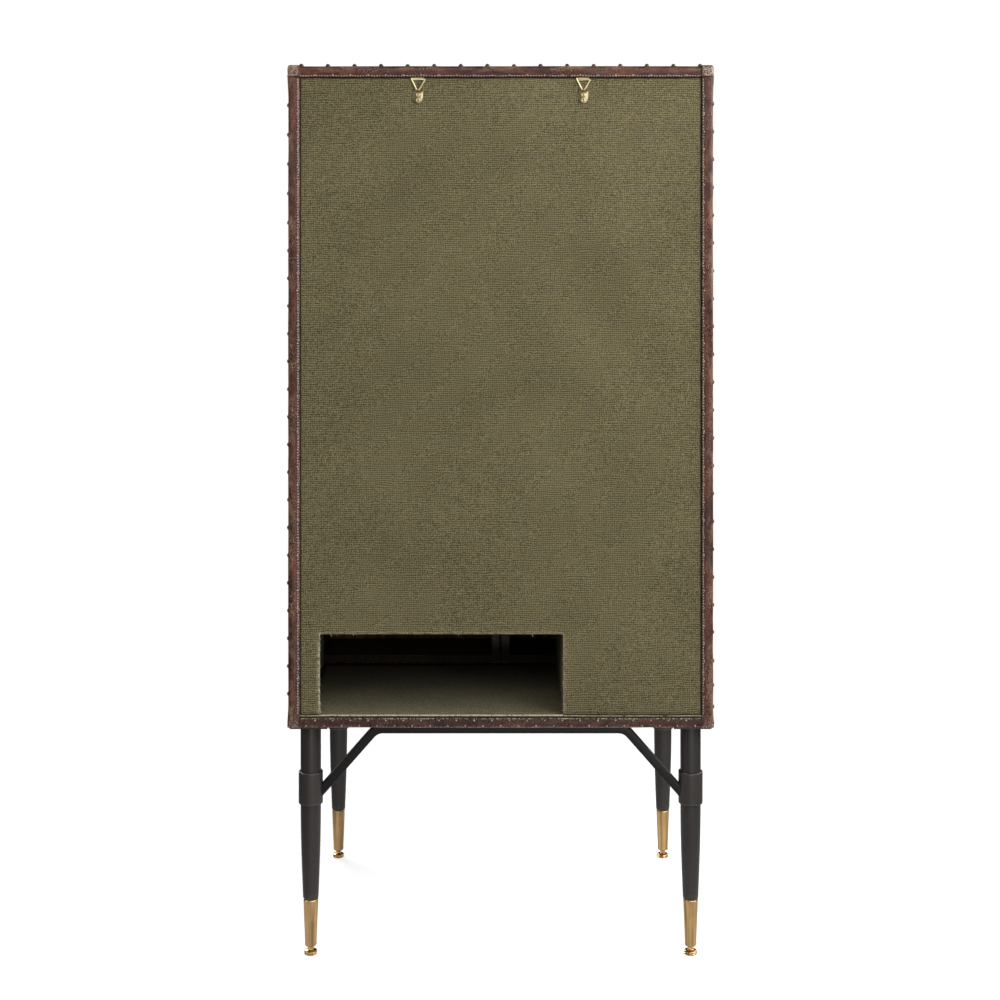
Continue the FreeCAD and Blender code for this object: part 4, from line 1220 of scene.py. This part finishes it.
class CABINET_OT_nails(Operator):
    """Dome nails round the top, down the sides and round the doors"""
    bl_idname = "cabinet.nails"
    bl_label = "Dome nails"

    def execute(self, context):
        size = context.scene.cabinet_sizes
        heights = even(z_base + size.side_nail_low, z_top - size.side_nail_drop, size.side_nail_pitch)
        self.carcass(size, heights)
        for name, side in sides.items():
            self.door(size, name, side, heights)
        return {"FINISHED"}

    def carcass(self, size, heights):
        across = even(-x_half + size.nail_corner, x_half - size.nail_corner, size.nail_pitch)
        along = even(y_front + size.nail_corner, y_back - size.nail_corner, size.nail_pitch)
        y_rows = (y_front + size.nail_edge, y_back - size.nail_edge)
        groups = [(lined(across, y, z_top), (0, 0, 1)) for y in y_rows]
        rear = self.rear_heights(size, heights[-1])
        clear = hinge_clear(heights, size)
        for name, side in sides.items():
            groups.append((lined(side * (x_half - size.nail_edge), along, z_top), (0, 0, 1)))
            groups.append((lined(side * x_half, y_back - size.nail_edge, rear[name]), (side, 0, 0)))
            groups.append((lined(side * x_half, y_carcass + size.nail_edge, clear), (side, 0, 0)))
        self.nailed("carcass_dome_nails", groups, "cabinet", ["carcass_nails"], 61)

    def rear_heights(self, size, z_last):
        """Hand-set rows: the right one opens out towards the top, the left one draws together at the foot."""
        opened_share = 1.06
        z_open = z_top - size.rear_nail_rise
        low = even(z_base + size.rear_nail_low, z_open, size.rear_nail_pitch)
        high = even(z_open, z_last, opened_share * size.rear_nail_pitch)[1:]
        foot = z_base + np.cumsum(size.closing_steps)
        return {"right": np.concatenate([low, high]),
                "left": np.concatenate([foot, even(foot[-1], z_last, size.rear_nail_pitch)[1:]])}

    def door(self, size, name, side, heights):
        low, high = span(name + "_door_leather")
        low, high = low + size.nail_edge, high - size.nail_edge
        y_near, y_far = y_front + size.nail_edge, high[1]
        across = even(low[0], high[0], size.nail_pitch)
        upright = even(low[2], high[2], size.nail_pitch)[1:-1]
        groups = [(lined(across, y_front, z), (0, -1, 0)) for z in (low[2], high[2])]
        groups += [(lined(x, y_front, upright), (0, -1, 0)) for x in (low[0], high[0])]
        door_heights = heights[heights < high[2]]
        groups.append((lined(side * x_half, y_near, door_heights), (side, 0, 0)))
        groups.append((lined(side * x_half, y_far, hinge_clear(door_heights, size)), (side, 0, 0)))
        self.nailed(name + "_door_dome_nails", groups, name + "_door", [name + "_door_nails"], 62 + side)

    def nailed(self, name, groups, body, nodes, seed):
        size = bpy.context.scene.cabinet_sizes
        shapes = []
        for number, (points, way) in enumerate(groups):
            head = nail_head(size, size.top_nail_height if way[2] else size.nail_height)
            shapes.append(copied(head, points, all_along(way, points), [seed, number]))
        make_piece(name, joined(shapes), nail_finish(), body, nodes)


class CABINET_OT_tacks(Operator):
    """Small tacks and a line of stitches along the raw edges on the back"""
    bl_idname = "cabinet.tacks"
    bl_label = "Tacks and stitches"

    def execute(self, context):
        size = context.scene.cabinet_sizes
        x_edge = x_board + size.hide_lap
        y_top, y_side = y_back, y_back + size.hide_lap
        x_tack, x_seam = x_board + size.tack_edge, x_half - size.patch_side
        tack_rise, stitch_rise = strip_rise(size, size.tack_edge), strip_rise(size, size.stitch_edge)
        self.tacks(size, x_tack, y_top + tack_rise, y_side + tack_rise)
        self.stitches(size, x_edge, x_seam, y_top + stitch_rise, y_side + stitch_rise)
        return {"FINISHED"}

    def tacks(self, size, x_tack, y_top, y_side):
        xs = even(-x_tack, x_tack, size.tack_pitch)
        half = 0.5 * (xs[1] - xs[0])
        zs = even(z_on_base + size.tack_edge, z_under_top - size.tack_edge, size.tack_pitch)[1:-1]
        z_low = z_base + size.hide_radius
        groups = [lined(xs[1:-1], y_top, z_under_top + size.tack_edge), lined(xs[:-1] + half, y_top, z_low),
                  lined(xs[1:-1], y_top, z_on_base - size.strip_drop - size.tack_edge)]
        groups += [lined(side * x_tack, y_side, zs) for side in sides.values()]
        places = np.concatenate(groups)
        shape = copied(tack_head(size), places, all_along((0, 1, 0), places), 71, spread_share=0.12,
                       lean=0.12)
        make_piece("edge_tack_heads", shape, tack_finish(), "cabinet", ["edge_tacks"])

    def stitches(self, size, x_edge, x_seam, y_top, y_side):
        """Each stitch is a small spindle: a circle that swells from nothing to full and back on its way."""
        along = np.linspace(-0.5, 0.5, 5)
        swell = np.sqrt(np.clip(1 - (2 * along) ** 4, 0, 1))
        profile = np.stack([swell * size.stitch_radius, along * size.stitch_length], -1)
        xs = even(-x_seam, x_seam, size.stitch_pitch)
        zs = even(z_on_base, z_under_top, size.stitch_pitch)[1:-1]
        chance = np.random.default_rng(72)
        row = lined(xs, y_top, z_under_top + size.stitch_edge)
        shapes = [self.row(turned(profile, (0, 0, 0), (1, 0, 0), 5), row, chance)]
        for side in sides.values():
            row = lined(side * (x_edge + size.stitch_edge), y_side, zs)
            shapes.append(self.row(turned(profile, (0, 0, 0), count=5), row, chance))
        look = finish("stitch_thread", spun_thread, "thread")
        make_piece("edge_stitches", joined(shapes), look, "cabinet")

    def row(self, stitch, places, chance):
        """Stitches along a row, each a little off its place."""
        points, quads = stitch
        stray = 0.00016
        places = places + chance.normal(0, stray, places.shape)
        starts = (np.arange(len(places)) * len(points))[:, None, None]
        return (places[:, None] + points[None]).reshape(-1, 3), (quads[None] + starts).reshape(-1, 4)


def leg_places():
    """Each leg's name with its axis on the floor."""
    places = {}
    for row in rows:
        for name in sides:
            low, high = span(row + "_" + name + "_leg")
            places[row + "_" + name] = (low + high)[:2] / 2
    return places


class CABINET_OT_legs(Operator):
    """Turned legs with collars, brass ferrules and grooved feet"""
    bl_idname = "cabinet.legs"
    bl_label = "Legs"

    def execute(self, context):
        size = context.scene.cabinet_sizes
        collars, ferrules = [], []
        for name, (x, y) in leg_places().items():
            self.leg(size, name, (x, y, 0))
            self.foot(name, (x, y, 0))
            collars.append(self.collar((x, y, 0)))
            ferrules.append(self.ferrule(size, (x, y, 0)))
        wear = self.collar_rim_wear_and_sheen(joined(collars)[0])
        make_piece("collar_sleeves", joined(collars), collar_finish(), "cabinet",
                   ["leg_collars"], {"wear": wear})
        make_piece("brass_ferrules", joined(ferrules), brass_finish(), "cabinet",
                   ["leg_ferrules"])
        return {"FINISHED"}

    def leg(self, size, name, foot):
        """A straight shaft that tapers below the knee to a groove over the brass, rubbed at its foot."""
        groove_share = 0.7
        ring_grooves = 12
        knee_reach = 0.055
        rim_reach = 0.0006
        rubbed_height = 0.004
        low, high = span(name + "_leg")
        radius = (high[0] - low[0]) / 2
        z_foot = span("leg_ferrules")[1][2]
        neck = size.leg_foot_radius - size.leg_groove
        groove = groove_share * size.leg_groove
        low_ring = z_foot + ring_grooves * groove
        up_share = (low_ring - z_foot) / (size.knee_height - z_foot)
        ring_radius = size.leg_foot_radius + up_share * (radius - size.leg_foot_radius)
        corners = [(0, z_foot), (neck, z_foot), (neck, z_foot + groove),
                   (size.leg_foot_radius, z_foot + 2 * groove), (ring_radius, low_ring),
                   (radius, size.knee_height), (radius, high[2]), (0, high[2])]
        reaches = [0, 0, groove / 4, groove / 2, groove, knee_reach, rim_reach, 0]
        shape = turned(rounded(corners, reaches, 9), foot)
        make_piece(name + "_turned_leg", shape, paint_finish(), "cabinet", [name + "_leg"],
                   {"wear": np.exp(-(shape[0][:, 2] - z_foot) / rubbed_height)})

    def collar(self, foot):
        """A sleeve with softly broken edges, from the leg's side to the sleeve's own radius."""
        overlap = 0.0002
        wall_inset = 0.005
        edge_reach = 0.0013
        low, high = span("leg_collars")
        leg_low, leg_high = span("front_left_leg")
        leg_radius = (leg_high[0] - leg_low[0]) / 2
        x = span("rear_right_leg")[1][0] - leg_radius
        radius, bore = high[0] - x, leg_radius - overlap
        wall = [(radius, low[2] + wall_inset), (radius, high[2] - wall_inset)]
        corners = [(bore, low[2]), (radius, low[2]), *wall, (radius, high[2]), (bore, high[2])]
        profile = rounded(corners, edge_reach, 6, closed=True)
        return turned(np.concatenate([profile, profile[:1]]), foot)

    def collar_rim_wear_and_sheen(self, points):
        """Paint is paler at the sleeves' two rims: rubbed, and a painted highlight along each rim."""
        rubbed_height = 0.0012
        low, high = span("leg_collars")
        gap = np.minimum(points[:, 2] - low[2], high[2] - points[:, 2])
        return np.exp(-gap / rubbed_height)

    def ferrule(self, size, foot):
        """A tapered cap: straight sides, a fine shoulder line at the top and a rolled lip at the sole."""
        bore = 0.0042
        dish = 0.001
        lip_inset = 0.0016
        lip_flare = 0.0003
        lip_height = 0.002
        waist_inset = 0.0001
        waist_height = 0.005
        shoulder_drop = 0.0016
        line_depth = 0.0006
        line_drop = 0.0009
        socket = 0.0085
        socket_depth = 0.004
        edge_reaches = [0, 0.0009, 0.0014, 0.002, 0.0006, 0.0004, 0.0004, 0.0004, 0.0004, 0]
        low, high = span("leg_ferrules")
        z0, z1 = low[2], high[2]
        top, sole = size.ferrule_top_radius, size.ferrule_foot_radius
        corners = [(bore, z0 + dish), (sole - lip_inset, z0), (sole + lip_flare, z0 + lip_height),
                   (sole - waist_inset, z0 + waist_height), (top, z1 - shoulder_drop),
                   (top - line_depth, z1 - line_drop), (top, z1), (socket, z1), (socket, z1 - socket_depth),
                   (bore, z1 - socket_depth)]
        profile = rounded(corners, edge_reaches, 5)
        return turned(np.concatenate([profile, profile[:1]]), foot)

    def foot(self, name, foot):
        """A grooved disc with a hub that narrows to a stem."""
        disc = 0.0065
        sole_inset = 0.0014
        sole_height = 0.0011
        groove_half = 0.0008
        groove_depth = 0.001
        brim_drop = 0.0012
        brim_inset = 0.0016
        stem = 0.0041
        hub = [(0.0066, disc + 0.0003), (0.0046, disc + 0.0009), (stem, disc + 0.0016)]
        edge_reaches = [0, 0.0008, 0.0008, 0.0003, 0.0004, 0.0003, 0.0008, 0.0008, 0.0009, 0.0004, 0.0004,
                        0.0004, 0]
        low, high = span(name + "_leveller")
        radius = (high[0] - low[0]) / 2
        middle = disc / 2
        corners = [(0, 0), (radius - sole_inset, 0), (radius, sole_height), (radius, middle - groove_half),
                   (radius - groove_depth, middle), (radius, middle + groove_half),
                   (radius, disc - brim_drop), (radius - brim_inset, disc), *hub, (stem, high[2]),
                   (0, high[2])]
        make_piece(name + "_grooved_foot", turned(rounded(corners, edge_reaches, 5), foot), brass_finish(),
                   name + "_leveller", [name + "_leveller"])


class CABINET_OT_stretchers(Operator):
    """Square bars under the box, bent down to the collars"""
    bl_idname = "cabinet.stretchers"
    bl_label = "Stretchers"

    def execute(self, context):
        size = context.scene.cabinet_sizes
        edge_reach = 0.0016
        sunk_share = 0.72
        half = size.bar_size / 2
        square = [(-half, -half), (half, -half), (half, half), (-half, half)]
        outline = rounded(square, edge_reach, 5, closed=True)
        collar_high = span("leg_collars")[1]
        for row in rows:
            x, y = leg_places()[row + "_right"]
            z = span(row + "_left_leg")[1][2] - half
            sleeve = collar_high[0] - x
            slope = size.bar_drop / (x - sleeve - size.bar_half_span)
            x_end = x - sleeve * sunk_share
            z_end = z - (x_end - size.bar_half_span) * slope
            corners = [(-x_end, y, z_end), (-size.bar_half_span, y, z), (size.bar_half_span, y, z),
                       (x_end, y, z_end)]
            path = rounded(corners, size.bar_bend, 9)
            shape = swept(path, outline, (0, 1, 0))
            make_piece(row + "_bent_stretcher", shape, bar_finish(), "cabinet",
                       [row + "_stretcher"], {"wear": np.zeros(len(shape[0]))})
        return {"FINISHED"}


class CABINET_OT_hangers(Operator):
    """Wire rings in folded straps, screwed to the back"""
    bl_idname = "cabinet.hangers"
    bl_label = "Wall hangers"

    def execute(self, context):
        size = context.scene.cabinet_sizes
        straps, shaded_plates, screws = [], [], []
        for name in sides:
            low, high = span(name + "_hanger_ring")
            x = (low[0] + high[0]) / 2
            self.ring(size, name, x, low, high)
            shaded_plates.append(self.shaded_back_plate(size, x))
            straps.append(self.strap(size, x))
            screws += self.screws(x)
        # The back plates take the dark nail finish as painted shade for the brass behind the ring.
        groups = (("hanger_strap_plates", straps, strap_finish(), "hanger_straps"),
                  ("hanger_back_plates", shaded_plates, nail_finish(), "hanger_straps"),
                  ("hanger_screw_heads", screws, hanger_finish(), "hanger_screws"))
        for name, shapes, look, node in groups:
            make_piece(name, joined(shapes), look, "cabinet", [node])
        return {"FINISHED"}

    def ring(self, size, name, x, low, high):
        """Wire bent to a triangle: a circle carried round its corners, the two ends lapped along the top."""
        foot_wires = 1.55
        lap_wires = {"left": 2.1, "right": 1.6}
        first_end_share = 0.86
        last_end_share = 0.8
        wire = size.ring_wire
        wide, foot = (high[0] - low[0]) / 2 - wire + size.ring_flare, foot_wires * wire
        z_low, z_high = low[2] + size.ring_pivot, high[2] - wire + size.ring_flare / 2
        y_foot, y_head = high[1] - size.ring_pivot, low[1] + wire
        z_lap = z_high - lap_wires[name] * wire
        corners = [(x + wide * first_end_share, y_head, z_lap), (x - wide, y_head, z_lap),
                   (x - foot, y_foot, z_low), (x + foot, y_foot, z_low), (x + wide, y_head, z_high),
                   (x - wide * last_end_share, y_head, z_high)]
        path = rounded(corners, wire * np.array([0, 1.0, 1.0, 1.0, 1.0, 0]), 8)
        lean = unit(np.array([0.0, z_high - z_low, y_foot - y_head]))
        make_piece(name + "_wire_ring", swept(path, round_outline(wire, 14), lean), hanger_finish(),
                   name + "_hanger_ring", [name + "_hanger_ring"])

    def shaded_back_plate(self, size, x):
        """A thin plate on the canvas that reaches up behind the ring, dark as painted shade for the brass
        behind the ring.
        """
        above_pivot = 0.004
        low, high = span("hanger_straps")
        z_pivot = span("left_hanger_ring")[0][2] + size.ring_pivot
        return self.plate(size, x, high[0] - abs(x), low[2], z_pivot + above_pivot, reach=0.003, rise=0.0,
                          thick=0.0009, crown=0.0)

    def strap(self, size, x):
        """A crowned front plate, and a small bridge over the wire."""
        front_share = 0.94
        foot_inset = 0.0004
        below_pivot = 0.0019
        strip_half_thickness = 0.0003
        strip_half_width = 0.0011
        strip_reach = 0.0002
        tail_rise = 0.0011
        tail_drop = 0.0045
        low, high = span("hanger_straps")
        half = high[0] - abs(x)
        z_pivot = span("left_hanger_ring")[0][2] + size.ring_pivot
        front = self.plate(size, x, half * front_share, low[2] + foot_inset, z_pivot - below_pivot,
                           reach=0.001, rise=0.0006, thick=0.0006, crown=0.0022)
        reach = high[1] - y_canvas
        turn = np.linspace(-0.5 * math.pi, 1.1 * math.pi, 16)
        radius = reach / 2 - strip_half_thickness
        bow = np.stack([np.full(len(turn), x), y_canvas + reach / 2 + radius * np.cos(turn),
                        z_pivot + radius * np.sin(turn)], -1)
        strip_foot = np.array([[x, y_canvas + tail_rise, z_pivot - tail_drop]])
        path = np.concatenate([strip_foot, bow[::-1]])
        thick, wide = strip_half_thickness, strip_half_width
        corners = [(-thick, -wide), (thick, -wide), (thick, wide), (-thick, wide)]
        flat = rounded(corners, strip_reach, 3, closed=True)
        return joined([front, swept(path, flat, (1, 0, 0))])

    def plate(self, size, x, half, z_low, z_high, reach, rise, thick, crown):
        """A plate with drawn-round corners: shrunken copies of its outline stacked up.

        Below its top it is crowned by 1 - (u / half)^2.
        """
        toe_share = 0.42
        slant_share = 0.95
        toe_reach_share = 0.5
        flank_reach_share = 0.4
        top_crown_share = 0.12
        slant = slant_share * half
        toe, flank = toe_reach_share * half, flank_reach_share * half
        corners = [(-toe_share * half, z_low), (toe_share * half, z_low), (half, z_low + slant),
                   (half, z_high), (-half, z_high), (-half, z_low + slant)]
        outline = rounded(corners, [toe, toe, flank, reach, reach, flank], 7, closed=True)
        middle = outline.mean(0)
        shares = np.array([0.0, 1.0, 1.0, 0.95, 0.8, 0.6, 0.4, 0.2, 0.0])[:, None]
        rises = np.array([0.0, 0.0, 0.7, 1.0, 1.0, 1.0, 1.0, 1.0, 1.0])[:, None]
        u = shares * (outline[:, 0] - middle[0])
        below = z_high - middle[1] - shares * (outline[:, 1] - middle[1])
        fade = np.clip(below / size.crown_fade, top_crown_share, 1)
        bow = crown * (1 - (u / half) ** 2) * (rises > 0.9) * fade
        points = np.stack([x + middle[0] + u, y_canvas + rise + rises * thick + bow,
                           middle[1] + shares * (outline[:, 1] - middle[1])], -1)
        return points.reshape(-1, 3), quad_grid(len(shares), len(outline), wrap=True)

    def screws(self, x):
        """Screws in cup washers: a round rim, and in its hollow a head with a dip along each cross arm."""
        radius = 0.0031
        rise = 0.0016
        seat = 0.0028
        skirt_foot = 0.0004
        head_radius = 0.0024
        cross_turn = 0.5
        low, high = span("hanger_screws")
        made = []
        for z in (low[2] + head_radius, high[2] - head_radius):
            share = np.linspace(1, 0, 13)[:, None]
            angle = np.linspace(0, 2 * math.pi, 40, endpoint=False)[None]
            u, v = share * np.cos(angle + cross_turn), share * np.sin(angle + cross_turn)
            arm = np.minimum(np.abs(u), np.abs(v))
            dip = 0.3 * np.clip(1 - (arm / 0.17) ** 4, 0, 1) * np.clip((0.4 - share) / 0.1, 0, 1)
            cup = np.sqrt(np.clip(1 - ((share - 0.72) / 0.28) ** 2, 0, 1))
            up = np.maximum(cup, 0.2 * (share < 0.6)) - dip
            top = np.stack([x + radius * u, y_canvas + seat + rise * up, z + radius * v], -1)
            skirt = top[:1].copy()
            skirt[..., 1] = y_canvas + skirt_foot
            points = np.concatenate([skirt, top])
            made.append((points.reshape(-1, 3), quad_grid(len(points), angle.size, wrap=True)))
        return made


class CABINET_OT_door_brass(Operator):
    """Pulls on the doors and bottle rails inside them"""
    bl_idname = "cabinet.door_brass"
    bl_label = "Door brass"

    def execute(self, context):
        for name in sides:
            self.pull(name)
            self.rails(name)
        return {"FINISHED"}

    def pull(self, name):
        """A bar turned with a bead near each end, on two turned posts with stepped rosettes."""
        bar = 0.005
        slim_share = 0.8
        tip_share = 0.3
        bead_heights = (0.012, 0.0128, 0.0142, 0.015)
        bar_reach = 0.0005
        post_inset = 0.019
        rosette_height = 0.0016
        step_share = 0.8
        step_height = 0.0026
        neck_radius = 0.0042
        neck_height = 0.0034
        waist_radius = 0.0038
        head_radius = 0.0044
        post_reaches = [0, 0.0004, 0.0006, 0.001, 0.0012, 0.004, 0, 0]
        low, high = span(name + "_door_pull")
        rosette = (high[0] - low[0]) / 2
        x = (low[0] + high[0]) / 2
        y_bar = low[1] + bar
        z0, z1 = low[2], high[2]
        run = z1 - z0
        slim = bar * slim_share
        end = [(0, 0), (slim, 0), (bar, bar * tip_share)]
        end += list(zip((bar, slim, slim, bar), bead_heights))
        corners = end + [(radius, run - height) for radius, height in end[::-1]]
        shapes = [turned(rounded(corners, bar_reach, 5), (x, y_bar, z0), count=40)]
        out = y_front - y_bar
        post = [(0, 0), (rosette, 0), (rosette, rosette_height), (rosette * step_share, step_height),
                (neck_radius, neck_height), (waist_radius, out * 0.5), (head_radius, out), (0, out)]
        for z in (z0 + post_inset, z1 - post_inset):
            shapes.append(turned(rounded(post, post_reaches, 6), (x, y_front, z), (0, -1, 0), 40))
        make_piece(name + "_bar_pull", joined(shapes), brass_finish(), name + "_door",
                   [name + "_door_pull"])

    def rails(self, name):
        """Rods between stepped end flanges, one over each door shelf."""
        flange = 0.008
        rod = 0.003
        flange_height = 0.0018
        step_share = 0.62
        step_height = 0.003
        rod_start = 0.0036
        edge_reach = 0.0005
        shelf_thickness = 0.012
        rail_height = 0.09
        low, high = span(name + "_door_rails")
        run = high[0] - low[0]
        y = (low[1] + high[1]) / 2
        half = [(0, 0), (flange, 0), (flange, flange_height), (flange * step_share, step_height),
                (rod, rod_start)]
        profile = half + [(radius, run - height) for radius, height in half[::-1]]
        z_shelf = span(name + "_door_shelves")[0][2]
        bay = z_shelf - (low[2] + flange) + rail_height
        levels = [low[2] + flange, low[2] + flange + bay + shelf_thickness, high[2] - flange]
        shapes = [turned(rounded(profile, edge_reach, 4), (low[0], y, z), (1, 0, 0), 36) for z in levels]
        make_piece(name + "_bottle_rails", joined(shapes), brass_finish("X"), name + "_door",
                   [name + "_door_rails"])


class CABINET_OT_door_seal(Operator):
    """A dark pile strip on the right door that closes the gap between the doors"""
    bl_idname = "cabinet.door_seal"
    bl_label = "Door seal"

    def execute(self, context):
        """A comb outline carried up the door: each fin is a tooth of a square wave across the strip."""
        base = -0.0004
        width = 0.011
        front_inset = 0.004
        seal_step = 0.06
        tip_share = 0.985
        valley_share = 0.45
        count = 6
        low, high = span("right_door_leather")
        left_high = span("left_door_leather")[1]
        gap = low[0] - left_high[0]
        places = np.linspace(0, width, 4 * count + 1)
        teeth = np.where((np.arange(len(places)) // 2) % 2 == 0, gap * tip_share, gap * valley_share)
        back = np.array([[width, base], [0.0, base]])
        outline = np.concatenate([np.stack([places, teeth], -1), back])
        outline = np.stack([-outline[:, 1], outline[:, 0] - width], -1)
        path = lined(low[0], high[1] - front_inset, even(low[2], high[2], seal_step))
        shape = swept(path, outline, (0, 1, 0))
        look = finish("dark_pile", spun_thread, "plastic")
        make_piece("door_pile_seal", shape, look, "right_door")
        return {"FINISHED"}


class CABINET_OT_packed_nodes(Operator):
    """Finishes on the boards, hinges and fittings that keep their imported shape"""
    bl_idname = "cabinet.packed_nodes"
    bl_label = "Boards and fittings"

    def execute(self, context):
        slots = {row["node"]: row["material_slot"] for row in frame["record"]["subparts"]}
        for name, node in frame["nodes"].items():
            if node.hide_render:
                continue
            low, high = span(name)
            along = "XYZ"[int(np.argmax(high - low))]
            look = slot_finish(slots[name], along)
            node.data.materials.clear()
            node.data.materials.append(look)
        return {"FINISHED"}


class CABINET_OT_stage(Operator):
    """A pale floor, soft studio light and the camera behind the cabinet"""
    bl_idname = "cabinet.stage"
    bl_label = "Stage"

    def execute(self, context):
        self.floor()
        self.sky(context)
        self.lamps(context)
        self.camera(context)
        context.scene.view_settings.view_transform = "Standard"
        return {"FINISHED"}

    def floor(self):
        """A pale sheet that fades into the white round it, by its distance from the cabinet."""
        reach = 2.4
        mesh = bpy.data.meshes.new("floor")
        corners = [(-reach, -reach, 0), (reach, -reach, 0), (reach, reach, 0), (-reach, reach, 0)]
        mesh.from_pydata(corners, [], [(0, 1, 2, 3)])
        shader = Shader("pale_floor")
        point = shader.place()
        speck = shader.noise(point, 30.0, 3.0)
        away = shader.add("ShaderNodeVectorMath", {"operation": "LENGTH"}, {0: point}, output="Value")
        seen = shader.add("ShaderNodeLightPath", output="Is Camera Ray")
        shade = shader.ramp(speck, [(0.0, (0.6, 0.6, 0.6)), (1.0, (0.64, 0.64, 0.64))])
        glow = shader.blend(seen, (0.06, 0.06, 0.06), (0.66, 0.66, 0.66))
        look = shader.finish(Base_Color=shade, Roughness=0.9, Specular_IOR_Level=0.1, Emission_Color=glow,
                             Emission_Strength=1.0, Alpha=1.0 - away.step(0.3, 1.3))
        mesh.materials.append(look)
        made = bpy.data.objects.new("floor", mesh)
        bpy.context.scene.collection.objects.link(made)

    def sky(self, context):
        """White where the camera looks; for the light, a dome that is brighter above and to one side."""
        shader = Shader("studio", "worlds")
        seen = shader.add("ShaderNodeLightPath", output="Is Camera Ray")
        way = shader.add("ShaderNodeTexCoord", output="Generated")
        brightest = (-0.4, 0.72, 0.4)
        tilt = shader.add("ShaderNodeVectorMath", {"operation": "DOT_PRODUCT"}, {0: way, 1: brightest},
                          output="Value")
        glow = shader.ramp(tilt, [(0.0, (0.1, 0.1, 0.1)), (0.4, (0.34, 0.34, 0.34)), (1.0, (1.0, 1.0, 1.0))])
        dome = shader.add("ShaderNodeBackground", {}, {"Color": glow, "Strength": 0.42})
        white = shader.add("ShaderNodeBackground", {}, {"Color": (1.0, 1.0, 1.0, 1.0), "Strength": 1.02})
        both = shader.add("ShaderNodeMixShader", {}, {"Fac": seen, 1: dome, 2: white})
        shader.add("ShaderNodeOutputWorld", {}, {"Surface": both})
        context.scene.world = shader.owner

    def lamps(self, context):
        """Eight soft panels, each with its place, width, height and power, turned to the body's middle."""
        aim = Vector((0, 0, 0.85))
        plans = [("key", (-1.1, 1.2, 1.75), 0.9, 0.9, 14), ("fill", (2.4, 0.9, 1.1), 0.8, 1.6, 11),
                 ("top", (0.0, 2.4, 2.0), 2.2, 1.0, 13), ("strip", (-1.8, 2.7, 0.8), 0.3, 1.5, 6),
                 ("low", (-0.4, 2.9, 0.09), 1.4, 0.14, 7.5), ("rim", (-2.2, 0.5, 1.8), 1.0, 1.6, 36),
                 ("front", (2.2, -3.0, 2.3), 2.0, 2.0, 85), ("front_fill", (-2.4, -2.2, 1.6), 1.6, 1.6, 30)]
        for name, place, wide, tall, power in plans:
            lamp = bpy.data.lights.new(name, "AREA")
            lamp.shape = "RECTANGLE"
            lamp.size = wide
            lamp.size_y = tall
            lamp.energy = power
            made = bpy.data.objects.new(name, lamp)
            made.location = place
            made.visible_camera = False
            made.rotation_euler = (aim - Vector(place)).to_track_quat("-Z", "Y").to_euler()
            context.scene.collection.objects.link(made)

    def camera(self, context):
        """A level camera behind the cabinet, shifted down to the photograph's framing."""
        away = 2.29
        eye_height = 1.005
        lens = bpy.data.cameras.new("photo_camera")
        lens.lens = 55.15
        lens.sensor_width = 36
        lens.shift_x = -0.00065
        lens.shift_y = -0.21
        made = bpy.data.objects.new("photo_camera", lens)
        made.location = (0, y_back + away, eye_height)
        made.rotation_euler = (math.pi / 2, 0, math.pi)
        context.scene.collection.objects.link(made)
        context.scene.camera = made


class CABINET_PT_pieces(Panel):
    """The cabinet's pieces in the sidebar"""
    bl_idname = "CABINET_PT_pieces"
    bl_label = "Cabinet"
    bl_space_type = "VIEW_3D"
    bl_region_type = "UI"
    bl_category = "Cabinet"

    def draw(self, context):
        for step in steps:
            self.layout.operator(step.bl_idname)
        for group in (context.scene.cabinet_sizes, context.scene.cabinet_colours):
            for name in group.bl_rna.properties.keys():
                if name not in ("rna_type", "name"):
                    self.layout.prop(group, name)


steps = (CABINET_OT_stage, CABINET_OT_canvas_edges, CABINET_OT_back_canvas, CABINET_OT_linings,
         CABINET_OT_covered_boards, CABINET_OT_hides, CABINET_OT_corner_patches, CABINET_OT_nails,
         CABINET_OT_tacks, CABINET_OT_legs, CABINET_OT_stretchers, CABINET_OT_hangers,
         CABINET_OT_door_brass, CABINET_OT_door_seal, CABINET_OT_packed_nodes)
classes = (CabinetSizes, CabinetColours, *steps, CABINET_PT_pieces)


def register():
    for entry in classes:
        bpy.utils.register_class(entry)
    bpy.types.Scene.cabinet_sizes = PointerProperty(type=CabinetSizes)
    bpy.types.Scene.cabinet_colours = PointerProperty(type=CabinetColours)


def unregister():
    del bpy.types.Scene.cabinet_colours
    del bpy.types.Scene.cabinet_sizes
    for entry in reversed(classes):
        bpy.utils.unregister_class(entry)


def main():
    """Dress the cabinet step by step."""
    register()
    for step in steps:
        group, name = step.bl_idname.split(".")
        getattr(getattr(bpy.ops, group), name)()
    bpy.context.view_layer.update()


if __name__ == "__main__":
    main()
